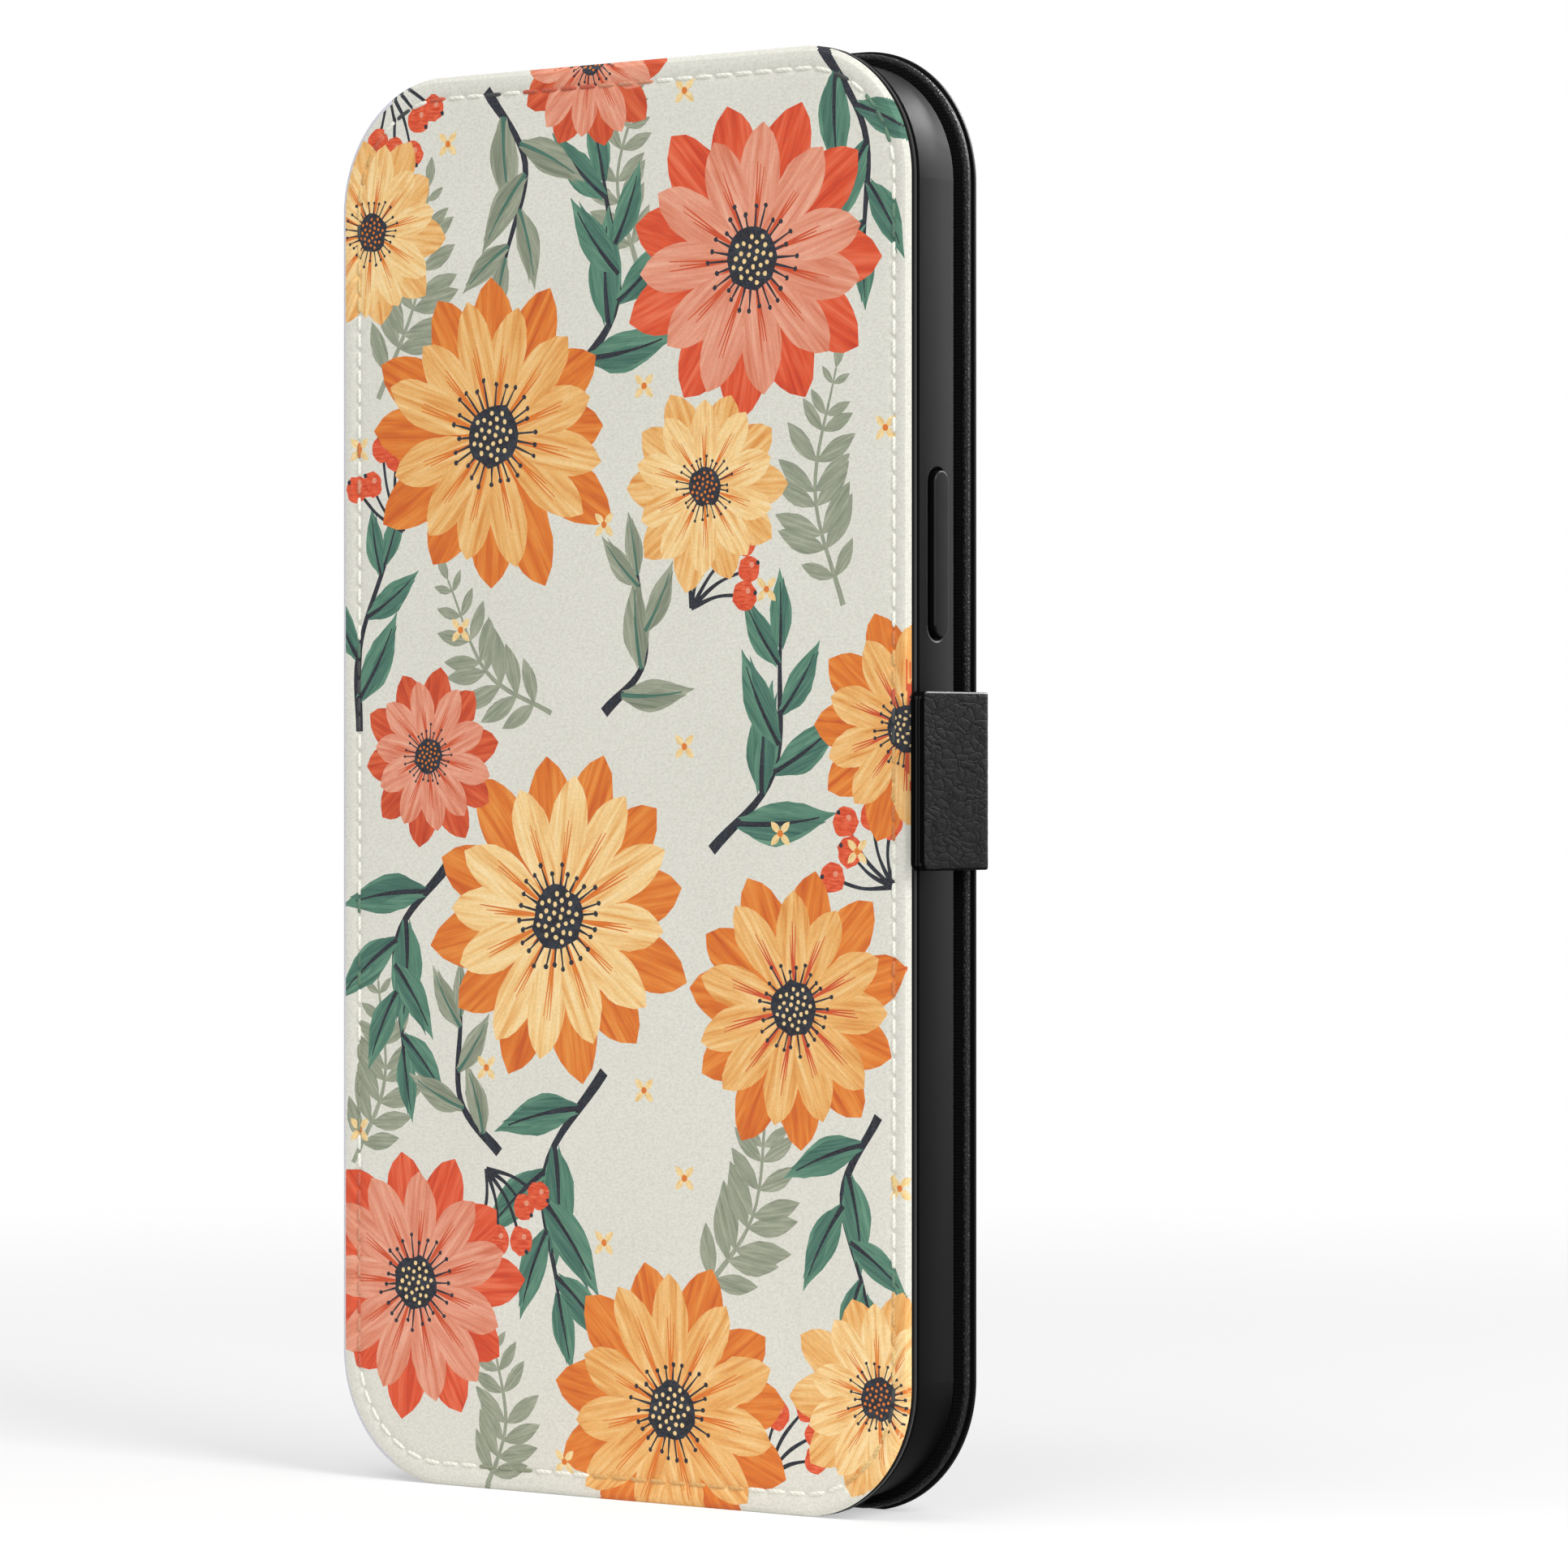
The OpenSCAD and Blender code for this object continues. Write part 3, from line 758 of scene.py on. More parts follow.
# Middle, radius, petals in a row, inks
DAISIES = (
    ((20, 60), 18.0, 11, "coral"), ((-19, 41), 18.5, 12, "gold"), ((13, 34), 11.5, 10, "pale"),
    ((-9, -16), 19.0, 12, "light"), ((26, -26), 15.5, 11, "rusty"), ((-29, 3), 10.5, 10, "rose"),
    ((8, -73), 17.0, 11, "gold"), ((-31, -60), 16.0, 11, "coral"), ((38, -70), 12.0, 10, "pale"),
    ((-38, 66), 11.5, 10, "pale"), ((42, 6), 13.0, 10, "rusty"), ((-4, 85), 11.0, 10, "rose"),
)
SEED_STARS = (
    (10, 80), (-26, 76), (39, 40), (4, 46), (-40, 40), (10, 4), (35, -8), (10, -46), (-20, -34), (-40, -42),
    (24, -6), (-8, -80), (28, -86), (-24, 18), (-2, 30), (41, 82), (-2, -54), (41, -46), (22, 22), (4, -36),
)


def unit(a):
    """Direction at an angle."""
    return np.array([math.cos(a), math.sin(a)])


def heading(v):
    """Angle of a direction."""
    return math.atan2(v[1], v[0])


class Print:
    """Flat shapes in draw order, each with an ink and its own along-and-across directions."""

    def __init__(self, seed):
        self.shapes = []
        self.rng = np.random.default_rng(seed)

    def add(self, poly, ink, origin, angle, length, width):
        self.shapes.append((np.asarray(poly, float), ink, np.asarray(origin, float), angle, length, width))

    def rough(self, amount):
        return self.rng.normal(0, amount)

    def stroke(self, pts, w0, w1, ink):
        """Tapering line through points. Returns its middle line and directions."""
        pts = smooth_line(np.asarray(pts, float), 14)
        d = normed(np.gradient(pts, axis=0))
        n = np.column_stack([-d[:, 1], d[:, 0]])
        t = np.linspace(0, 1, len(pts))[:, None]
        w = (w0 + (w1 - w0) * t) / 2 * (1 + 0.12 * np.sin(9 * t + self.rng.uniform(0, 6)))
        poly = np.vstack([pts + n * w, (pts - n * w)[::-1]])
        length = float(np.sum(np.linalg.norm(np.diff(pts, axis=0), axis=1)))
        self.add(poly, ink, pts[0], heading(pts[-1] - pts[0]), length, max(w0, w1))
        return pts, d

    def blade(self, origin, angle, length, width, ink, full=0.45, bend=0.0, blunt=1.0, steps=13):
        """Petal or leaf: widest at full, bending sideways, with a blunt or pointed tip.

        Returns its middle line.
        """
        t = np.linspace(0, 1, steps)
        shape = np.where(t < full, np.sin(math.pi / 2 * np.clip(t / full, 0, 1)) ** 0.9,
                         np.cos(math.pi / 2 * np.clip((t - full) / (1 - full), 0, 1)) ** blunt)
        w = width / 2 * np.clip(shape, 0.02, 1)
        mid = np.column_stack([t * length, bend * length * t * t])
        left = mid + np.column_stack([np.zeros(steps), w * (1 + self.rng.normal(0, 0.025, steps))])
        right = mid - np.column_stack([np.zeros(steps), w * (1 + self.rng.normal(0, 0.025, steps))])
        c, s = math.cos(angle), math.sin(angle)
        turn = np.array([[c, s], [-s, c]])
        poly = np.vstack([left, right[::-1]]) @ turn + origin
        self.add(poly, ink, origin, angle, length, width)
        return mid @ turn + origin

    def disc(self, centre, r, ink, steps=18, wobble=0.05):
        a = np.linspace(0, 2 * math.pi, steps, endpoint=False)
        rr = r * (1 + self.rng.normal(0, wobble, steps))
        poly = np.column_stack([centre[0] + rr * np.cos(a), centre[1] + rr * np.sin(a)])
        self.add(poly, ink, centre, 0.0, r, r)

    def leaf(self, origin, angle, length, width, ink, bend):
        """Leaf with a shaded half, a light streak and a vein."""
        mid = self.blade(origin, angle, length, width, ink, 0.42, bend, 1.25)
        n = np.array([-math.sin(angle), math.cos(angle)])
        shade, streak = (-0.10, -0.03, 0.9, 0.52, "deep_" + ink), (0.12, 0.04, 0.62, 0.2, ink)
        for off, turn, long, wide, tone in (shade, streak):
            start = origin + n * width * off
            self.blade(start, angle + turn, length * long, width * wide, tone, 0.42, bend, 1.25)
        self.stroke(mid[:-2], width * 0.15, width * 0.035, "navy" if ink == "green" else "deep_green")

    def daisy(self, centre, r, petals, inner, outer, line, core):
        """Round daisy of many narrow petals in two rows, with a pale domed centre."""
        turn = self.rng.uniform(0, 2 * math.pi)
        centre = np.array(centre, float)
        for row, (share, ink, wide) in enumerate(((1.0, outer, 1.42), (0.84, inner, 1.12))):
            for k in range(petals):
                a = turn + 2 * math.pi * (k + 0.5 * row) / petals + self.rough(0.035)
                length = r * share * (1 + self.rough(0.045))
                o = centre + 0.10 * r * unit(a)
                self.blade(o, a, length * 0.92, wide * r * math.pi / petals, ink, 0.62, self.rough(0.05), 0.62)
                for off in (-0.26, 0.05, 0.3) if row else ():
                    d = unit(a + off * 2.1 / petals)
                    far = length * (0.50 + 0.16 * self.rng.random())
                    path = [o + unit(a) * length * 0.1, o + d * far * 0.6, o + d * far]
                    self.stroke(path, r * 0.020, r * 0.006, line)
        for k in range(FLORETS):
            d = unit(2 * math.pi * (k + 0.4 * self.rng.random()) / FLORETS)
            far = r * (0.27 + 0.10 * self.rng.random())
            path = [centre + d * 0.12 * r, centre + d * 0.2 * r, centre + d * far]
            self.stroke(path, r * 0.026, r * 0.010, "navy")
            self.disc(centre + d * far, 0.018 * r, "navy", 6, 0.1)
        self.disc(centre, 0.205 * r, "navy")
        for k in range(FLORETS):
            far = 0.165 * r * math.sqrt((k + 0.5) / FLORETS)
            self.disc(centre + far * unit(GOLDEN * k), 0.017 * r, core, 6, 0.1)

    def sprig(self, pts, count, size, ink):
        """Stem with leaves by turns on both sides."""
        line, d = self.stroke(pts, 1.25, 0.55, "navy")
        for k in range(count):
            i = min(int(len(line) * (0.22 + 0.68 * k / (count - 1))), len(line) - 1)
            side = 1 if k % 2 else -1
            length = size * (1.05 - 0.35 * k / count) * (1 + self.rough(0.06))
            self.leaf(line[i], heading(d[i]) + side * 0.75, length, length * 0.36, ink, -side * 0.16)
        self.leaf(line[-1], heading(d[-1]), size * 0.72, size * 0.25, ink, 0.05)

    def frond(self, pts, pairs, size, ink="sage"):
        """Fern-like frond of small paired leaflets."""
        line, d = self.stroke(pts, 0.7, 0.3, ink)
        for k in range(pairs):
            t = 0.16 + 0.8 * k / (pairs - 1)
            i = int(t * (len(line) - 1))
            length = size * math.sin(math.pi * (0.22 + 0.68 * t)) * (1 + self.rough(0.05))
            for side in (1, -1):
                self.blade(line[i], heading(d[i]) + side, length, length * 0.36, ink, 0.5, -side * 0.1, 0.9)
        self.blade(line[-1], heading(d[-1]), size * 0.5, size * 0.2, ink, 0.5, 0, 0.9)

    def berries(self, base, angle, size):
        """Spray of five round berries on thin stalks."""
        base = np.array(base)
        for k in range(5):
            a = angle + (k - 2) * 0.34 + self.rough(0.05)
            far = size * (0.8 + 0.3 * (k % 3) / 2)
            tip = base + far * unit(a)
            self.stroke([base, base + 0.5 * far * unit(a + 0.15), tip], 0.55, 0.35, "navy")
            self.disc(tip, 1.55 + 0.25 * self.rng.random(), "red")
            self.disc(tip + (0.45, 0.5), 0.36, "coral", 8)
            self.disc(tip + 1.5 * unit(a), 0.3, "navy", 7)

    def seed_star(self, c):
        for k in range(4):
            self.blade(np.array(c), math.pi / 4 + k * math.pi / 2, 1.9, 0.9, "ochre", 0.5, 0, 0.8, 7)
        self.disc(c, 0.42, "orange", 8)


def smooth_line(pts, steps):
    """Smooth curve through points (Catmull-Rom)."""
    p = np.vstack([2 * pts[0] - pts[1], pts, 2 * pts[-1] - pts[-2]])
    out = []
    for a, b, c, d in zip(p, p[1:], p[2:], p[3:]):
        for t in np.linspace(0, 1, steps // (len(pts) - 1) + 1, endpoint=False):
            square, cube = 2 * a - 5 * b + 4 * c - d, 3 * b - a - 3 * c + d
            out.append(0.5 * (2 * b + (c - a) * t + square * t * t + cube * t ** 3))
    out.append(pts[-1])
    return np.array(out)


def draw_print():
    """Scattered daisies, sprigs, fronds and berries, in an even half-drop layout."""
    art = Print(11)
    for *stem, pairs, size in FRONDS:
        art.frond(stem, pairs, size)
    for *stem, count, size, ink in SPRIGS:
        art.sprig(stem, count, size, ink)
    for spray in BERRIES:
        art.berries(*spray)
    for centre, r, petals, inks in DAISIES:
        art.daisy(centre, r, petals, *DAISY_INKS[inks])
    for centre in SEED_STARS:
        art.seed_star(centre)
    return art


# ---- front cover -------------------------------------------------------------------------------

FRONT_EDGE = 0.65                       # width of the printed sheet's chamfer
FRONT_PAST, FRONT_SHORT = 0.15, 0.30    # it passes the spine side, and leaves the bead bare on the clasp side
FRONT = Outline(W + FRONT_PAST - FRONT_SHORT, H, R, (-(FRONT_PAST + FRONT_SHORT) / 2, 0))
FRONT_STEP = 0.275                      # mesh points along the sheet's edge
GRID_X, GRID_Z, GRID_STEP = 37.6, 79, 1.7       # reach and pitch of the mesh points over the front's middle
GROUND_SHAPE = (None, None, (0, 0), 0.0, 1.0, 1.0)      # the ground, at index -1 after the print's shapes


def build_front():
    """Printed sheet whose face carries each motif's outline as edges. Returns the print."""
    art = draw_print()
    grid = np.array([(x, z) for x in np.arange(-GRID_X, GRID_X + 0.1, GRID_STEP)
                     for z in np.arange(-GRID_Z, GRID_Z + 0.1, GRID_STEP)])
    pts = [ring(i) for i in SEAM_INSETS] + [grid[COVER.dist(grid) > 4.9]]
    edges, count = [], sum(len(p) for p in pts)
    for poly, *_ in art.shapes:
        edges += loop_edges(count, len(poly))
        pts.append(poly)
        count += len(poly)

    def lift(p, ids):
        return 0.05 * bell(COVER.dist(p), 1.4, 0.5) - seam_dip(p, 0.15)     # a low welt outside the seam

    verts, faces, tags, dom = sheet(
        FRONT, FRONT_EDGE, lambda p, h: world(p, Y_FRONT - h), lift, Y_FRONT_IN - Y_FRONT,
        FRONT.loop(FRONT_EDGE, FRONT_STEP), np.vstack(pts), edges, e2=0.02, profile=CHAMFER)
    middle = middles(faces, dom)
    # The spine side's chamfer is unprinted and takes the darker, bluer copy of the ground: painted shade.
    bare = (tags == RIM) & (FRONT.outward(middle)[:, 0] < -0.5)     # the print ends at the spine side's chamfer
    printed = (tags <= RIM) & ~bare
    owner = np.full(len(faces), -1)
    owner[printed] = shape_at(art, middle[printed])
    _, ink, origin, angle, length, width = zip(*art.shapes, GROUND_SHAPE)
    mats = [GROUND, *INKS.values(), BARE_SHADED, EDGE]
    number = np.array([mats.index(INKS.get(k, GROUND)) for k in ink])
    index = np.where(bare, mats.index(BARE_SHADED), np.where(tags <= RIM, number[owner], mats.index(EDGE)))
    shape = np.repeat(owner, [len(f) for f in faces])
    q = corner_uvs(faces, dom) - np.array(origin)[shape]
    ang = np.array(angle)[shape]
    u = (q[:, 0] * np.cos(ang) + q[:, 1] * np.sin(ang)) / np.array(length)[shape] + 3.7 * shape
    v = (q[:, 1] * np.cos(ang) - q[:, 0] * np.sin(ang)) / np.array(width)[shape] + 2.3 * shape
    obj = make_object("front_skin_print", verts, faces, mats, index, {"motif": np.column_stack([u, v])}, 38)
    settle(obj, "cover", "leather_front", "front_skin")
    return art


def shape_at(art, p):
    """Number of the topmost shape at each place, or -1."""
    owner = np.full(len(p), -1)
    for k, (poly, *_) in enumerate(art.shapes):
        sel = np.where(((p >= poly.min(axis=0)) & (p <= poly.max(axis=0))).all(axis=1))[0]
        if len(sel):
            owner[sel[inside_polygon(p[sel], poly)]] = k
    return owner


STITCH_LEN, STITCH_W, STITCH_T = 1.86, 0.52, 0.36
STITCH_ROWS, STITCH_SIDES = 11, 8
STITCH_SINK = 0.16                      # depth of a stitch's ends below its middle


def build_stitches(name, path, mat, body, node, slot, tints=None, lift=0.10):
    """Single stitches. path: one (place, along, across, out) per stitch, each a 3-D vector in millimetres."""
    verts, faces, uvs = [], [], []
    for k, (place, along, across, out) in enumerate(path):
        slant = 0.006 * math.sin(k * 2.4)
        base = len(verts)
        for i in range(STITCH_ROWS):
            u = math.sin(math.pi / 2 * (2 * i / (STITCH_ROWS - 1) - 1))
            t = u * STITCH_LEN / 2
            full = max(0.0, 1 - abs(u) ** 7) ** 0.5
            w = STITCH_W / 2 * (0.30 + 0.70 * full)
            h = STITCH_T / 2 * (0.40 + 0.60 * full)
            deep = lift - STITCH_SINK * abs(u) ** 5 - STITCH_T / 2
            centre = place + along * t + across * (slant * t) + out * deep
            for j in range(STITCH_SIDES):
                a = 2 * math.pi * j / STITCH_SIDES
                verts.append(centre + across * (w * math.cos(a)) + out * (h * math.sin(a)))
        faces += [tuple(base + v for v in f) for f in tube(STITCH_ROWS, STITCH_SIDES, False)]
        uvs += [(3.2 * (i + di) / STITCH_ROWS + k, (j + dj) / STITCH_SIDES * 1.6)
                for i in range(STITCH_ROWS - 1) for j in range(STITCH_SIDES)
                for di, dj in ((0, 0), (0, 1), (1, 1), (1, 0))]
        for first in (base, base + (STITCH_ROWS - 1) * STITCH_SIDES):
            faces.append(tuple(range(first, first + STITCH_SIDES)))
            uvs += [(k, 0.0)] * STITCH_SIDES
    if tints is not None:
        tints = np.repeat(tints, STITCH_ROWS * STITCH_SIDES, axis=0)
    obj = make_object(name, verts, faces, [mat], None, {"thread": uvs}, 60, tints)
    settle(obj, body, slot, *([node] if node else []))


def seam_path(y, out):
    """Stitches around a cover at a depth; out is the face's outward sign along Y."""
    path = []
    for k in range(STITCHES):
        (x, z), n = seam_point(stitch_at(k + 0.5))
        long = (stitch_at(k + 1) - stitch_at(k)) / PITCH
        path.append((np.array([x + CX, y, z + CZ]), np.array([-n[1], 0, n[0]]) * long,
                     np.array([n[0], 0, n[1]]), np.array([0, out, 0.0])))
    return path


def stitch_tints(art):
    """Colour of the print under each front stitch, white on the ground."""
    return [(1, 1, 1, 1) if k < 0 else srgb(*INK_TONES[art.shapes[k][1]][1])
            for k in shape_at(art, SEAM_P[RING_STEPS // 2::RING_STEPS])]


def build_edge_bead(name, body, mats, profile):
    """Bead around a cover's edge. profile: (inset, depth, material of the strip that follows)."""
    verts = np.vstack([world(ring(inset, 4), y) for inset, y, _ in profile])
    n = len(verts) // len(profile)
    index = np.repeat([mat for _, _, mat in profile], n)
    settle(make_object(name, verts, tube(len(profile), n, True), mats, index, None, 38), body, None)


def build_lining(node, body, out, mats, edge_r, inset, hole=None):
    """Lining of a cover: soft rounded border, drawn in a little at the seam."""
    lo, hi = node_box(node)
    y_face, y_back = (lo[1], hi[1]) if out < 0 else (hi[1], lo[1])
    left, right = 0.6 - W / 2, W / 2 - inset        # the spine's leather passes the lining's left side
    flat = Outline(right - left, H - 2 * inset, R - inset, ((left + right) / 2, 0))

    def lift(p, ids):
        return 0.03 * bell(COVER.dist(p), 1.5, 0.6) - seam_dip(p, 0.07)

    inner = np.vstack([ring(i) for i in SEAM_INSETS if i > 1.5] + [flat.loop(k, 1.1) for k in (0.7, 1.0)])
    inner = inner[flat.dist(inner) > edge_r + 0.1]
    if hole:
        inner = inner[-hole.dist(inner) > 0.4]
    verts, faces, tags, dom = sheet(
        flat, edge_r, lambda p, h: world(p, y_face + out * h), lift, abs(y_face - y_back), flat.loop(edge_r),
        inner, (), hole, hole.loop(-edge_r) if hole else None, e2=0.03)
    obj = make_object(node + "_cloth", verts, faces, mats, tags > TOP, {"grain": corner_uvs(faces, dom)})
    settle(obj, body, "lining", node)


# ---- pebbled leather ---------------------------------------------------------------------------

def uneven(lo, hi, pitch, seed, depth, keep):
    """Scattered points of a softly uneven sheet over a rectangle: (points, heights)."""
    rng = np.random.default_rng(seed)
    x, z = np.meshgrid(np.arange(lo[0], hi[0], pitch), np.arange(lo[1], hi[1], pitch))
    pts = np.column_stack([x.ravel(), z.ravel()]) + rng.uniform(-0.3, 0.3, (x.size, 2)) * pitch
    height = rng.uniform(-depth, depth, len(pts))
    sel = keep(pts)
    return pts[sel], height[sel]


def clear_of(pts, others, gap):
    """Which points keep a distance from other points."""
    def key(cells):
        return cells[:, 0] * 1000003 + cells[:, 1]
    taken = np.floor(others / gap).astype(np.int64)
    near = np.vstack([taken + (dx, dz) for dx in (-1, 0, 1) for dz in (-1, 0, 1)])
    return ~np.isin(key(np.floor(pts / gap).astype(np.int64)), np.unique(key(near)))


# ---- back cover --------------------------------------------------------------------------------

CAMERA = Outline(35.8, 37.8, 9.9, (17.1, 57.65))        # opening around the tray's collar


def build_back():
    """Pebbled face of the back cover, its edge a little past the solid's."""
    e, past = 0.25, 0.30                # the rim's radius, and the reach past the solid's edge

    def free(p):
        d = COVER.dist(p)
        return (d > 0.6) & (-CAMERA.dist(p) > 0.75) & (np.abs(d - SEAM_IN) > 0.65)

    fixed = np.vstack([ring(i) for i in SEAM_INSETS if 2 < i < 3.2] + [CAMERA.loop(-0.8)])
    grain, height = uneven((-W / 2, -H / 2), (W / 2, H / 2), pitch=1.1, seed=5, depth=0.03, keep=free)
    sel = clear_of(grain, fixed, 0.2)
    pts = np.vstack([fixed, grain[sel]])
    up = np.concatenate([np.zeros(len(fixed)), height[sel]])

    def lift(p, ids):
        return np.where(ids >= 0, up[ids], 0) - seam_dip(p, 0.15)

    verts, faces, tags, dom = sheet(
        Outline(W + 2 * past, H + 2 * past, R + past), e, lambda p, h: world(p, Y_BACK + h), lift,
        Y_BACK - Y_BACK_IN, ring(e - past), pts, (), CAMERA, CAMERA.loop(-e), e2=0.05)
    obj = make_object("back_skin_leather", verts, faces, [PEBBLE, EDGE], tags > TOP,
                      {"grain": corner_uvs(faces, dom)})
    settle(obj, "back", "leather_back", "back_skin")


# ---- strips that follow a line across the case -------------------------------------------------

class Line:
    """Smooth line in plan (x, y millimetres), with places and outward normals by length."""

    def __init__(self, pts, outward):
        self.p = np.asarray(pts, float)
        seg = np.linalg.norm(np.diff(self.p, axis=0), axis=1)
        self.s = np.concatenate([[0], np.cumsum(seg)])
        d = normed(np.gradient(self.p, self.s, axis=0))
        self.n = np.column_stack([d[:, 1], -d[:, 0]]) * outward
        self.length = float(self.s[-1])

    def at(self, s, h):
        """Places at lengths s and heights h off the line."""
        s = np.clip(s, 0, self.length)
        p, n = (np.column_stack([np.interp(s, self.s, row) for row in v.T]) for v in (self.p, self.n))
        return p + normed(n) * np.asarray(h)[:, None]


STRIP_STEP, STRIP_ROW = 0.55, 0.3       # steps of the mesh points across a strip and along it


def strip(name, line, half, thick, mats, pick, corner, edge_r, grain=None, wave=None, e2=0.10):
    """Strip of sheet along a line, with rounded edges.

    thick: (lengths, depths). pick(tags, places) gives materials.
    grain: (pitch, seed, depth, border) of an uneven face. wave(places) adds to its height.
    """
    flat = Outline(line.length, 2 * half, corner, (line.length / 2, 0))
    s_rows = np.linspace(0.2, line.length - 0.2, max(4, int(line.length / STRIP_ROW)))
    v_rows = np.linspace(-half + 0.3, half - 0.3, max(5, int(2 * half / STRIP_STEP)))
    pts = np.array([(s, v) for s in s_rows for v in v_rows])
    pts = pts[flat.dist(pts) > edge_r + 0.12]
    under = pts
    up = np.zeros(len(pts))
    if grain:
        pitch, seed, depth, clear = grain
        g, gh = uneven((0, -half), (line.length, half), pitch, seed, depth, lambda p: flat.dist(p) > clear)
        keep = clear_of(pts, g, 0.14)
        pts, up = np.vstack([pts[keep], g]), np.concatenate([up[keep], gh])

    def place(p, h):
        q = line.at(p[:, 0], h)
        return np.column_stack([q[:, 0] + CX, q[:, 1], p[:, 1] + CZ])

    def lift(p, ids):
        fade = np.clip((flat.dist(p) - edge_r) / 0.5, 0, 1)
        extra = wave(p) if wave else 0.0
        return (np.where(ids >= 0, up[ids], 0) + extra) * fade

    verts, faces, tags, dom = sheet(
        flat, edge_r, place, lift, lambda p: np.interp(p[:, 0], *thick), flat.loop(edge_r, STRIP_STEP), pts,
        e2=e2, under_points=under[flat.dist(under) > 0.4])
    index = pick(tags, middles(faces, dom))
    return make_object(name, verts, faces, mats, index, {"grain": corner_uvs(faces, dom)})


def cad_point(x, y):
    """Point at mid-height in metres, x from the case's middle."""
    return ((x + CX) * MM, y * MM, CZ * MM)


def build_spine():
    """Spine leather in two overlapping pieces along the spine's outward bow."""
    lo, hi = node_box("spine_leather")
    half = (hi[2] - lo[2]) / 2
    x0 = lo[0] - CX
    thick, bow, gap = 0.42, 0.42, 0.02  # gap: between the leather's ends and the covers' faces
    y_a, y_b = Y_BACK_IN - gap, Y_FRONT_IN + gap
    y = np.linspace(y_a, y_b, 41)
    u = (y - (y_a + y_b) / 2) / ((y_a - y_b) / 2)
    pts = np.column_stack([x0 - 0.04 - bow * (1 - np.abs(u) ** 2.2), y])
    fold_back = node_box("back_lining")[0][1]
    for name, part, a, b, fold, nodes in (
            ("spine_wrap_back", pts[:22], "back", "spine", fold_back, ("spine_leather", "spine_flange_back")),
            ("spine_wrap_front", pts[19:], "spine", "cover", Y_INSIDE, ("spine_flange_front",))):
        obj = strip(name, Line(part, 1), half, ([0], [thick]), [FINE, SUEDE], lambda tags, p: tags == UNDER,
                    0.5, 0.16, wave=lambda p: 0.012 * np.sin(p[:, 1] * 0.9) + 0.008 * np.sin(p[:, 1] * 2.3))
        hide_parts(*nodes)
        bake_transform(obj)


CLASP_WIDER, CLASP_PAST = 0.12, 0.5     # the strap passes its solid along both sides, and at its free end
CLASP_CORNER, CLASP_UNDER = 0.9, 0.30   # corner radius, and radius of the lower edges
TONGUE_T, STRAP_T = 0.42, 0.80          # thickness on the back cover, and of the outer layer


def build_clasp():
    """Strap of two layers: the outer one bends at the back cover's edge, the inner one rides on the clasp."""
    lo, hi = node_box("clasp_outer")
    tongue_lo, _ = node_box("clasp_tongue")
    half = (hi[2] - lo[2]) / 2 + CLASP_WIDER
    xo, xt, edge = hi[0] - CX, tongue_lo[0] - CX, W / 2
    # Strap's outer line at the back cover's edge: across the case, and past the cover's face
    bend = [(xt, 0.05), (xt + 0.5, 0.05), (edge - 1.6, 0.05), (edge - 0.7, 0.09), (edge + 0.1, 0.24),
            (edge + 0.8, 0.38), (edge + 1.35, 0.30), (edge + 1.8, -0.02), (xo - 0.06, -0.5), (xo, -1.1),
            (xo, -2.0)]
    curve = smooth_line(np.array(bend) + (0, Y_BACK), 60)
    end = lo[1] - CLASP_PAST
    line = Line(np.vstack([curve, [(xo, y) for y in np.linspace(Y_BACK - 3.0, end, 12)]]), -1)
    s_edge = float(np.interp(edge + 0.5, curve[:, 0], line.s[:len(curve)]))
    thick = ([0, s_edge - 1.0, s_edge + 2.2, line.length], [TONGUE_T, TONGUE_T, STRAP_T, STRAP_T])

    def pick(tags, p):
        gap = line.length - p[:, 0]     # the free end is a black edge with a polished line by the inner layer
        line_at = (tags == WALL) & (gap > 0.008) & (gap < 0.06)
        # Painted shade and light: the free end and the lower rim take the extra-black edge paint, the upper rim
        # the lighter, glossier one.
        rim = np.where(gap < 0.45, np.where(line_at, 1, 2), np.where((tags == RIM) & (p[:, 1] > 0), 3, 2))
        return np.where(tags == TOP, 0, rim)

    # The strap's face takes the darker clasp copy of the pebbled leather: painted shade.
    mats = [PEBBLE_CLASP_SHADED, EDGE_BEAD, EDGE_BLACK_SHADE, EDGE_GLOSS]
    obj = strip("clasp_strap", line, half, thick, mats, pick, CLASP_CORNER, 0.26, (0.8, 9, 0.015, 0.36),
                e2=CLASP_UNDER)
    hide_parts("clasp_outer", "clasp_tongue")
    cad_point(edge - 0.2, Y_BACK)
    cad_point(edge + 1.25, Y_BACK)
    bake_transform(obj)

    lo, hi = node_box("clasp_inner")
    x_out, x_in = hi[0] - CX - 0.02, lo[0] - CX

    def pick_inner(tags, p):
        gap = inner.length - p[:, 0]
        # Painted shade: the inner layer's end and sides take the extra-black edge paint, bar a polished line
        # near its end.
        return np.where(tags == UNDER, 2, np.where((tags == RIM) & (gap > 0.015) & (gap < 0.17), 1, 0))

    inner = Line([(x_out, y) for y in np.linspace(hi[1], end, 14)], -1)
    obj = strip("clasp_inner_layer", inner, half, ([0], [x_out - x_in]), [EDGE_BLACK_SHADE, EDGE_BEAD, SUEDE],
                pick_inner, CLASP_CORNER, 0.34, e2=CLASP_UNDER)
    settle(obj, "clasp", "leather_clasp", "clasp_inner")


# ---- button caps -------------------------------------------------------------------------------

PILL_SEG = 20                           # points around each end of a cap
CAP_FLANGE, CAP_FLANGE_T = 1.0, 0.30    # the flange's reach past the cap's outline, its thickness
CAP_PROUD, CAP_ROUND = 0.3, 0.16        # the cap stands prouder than its solid; radius of its rim


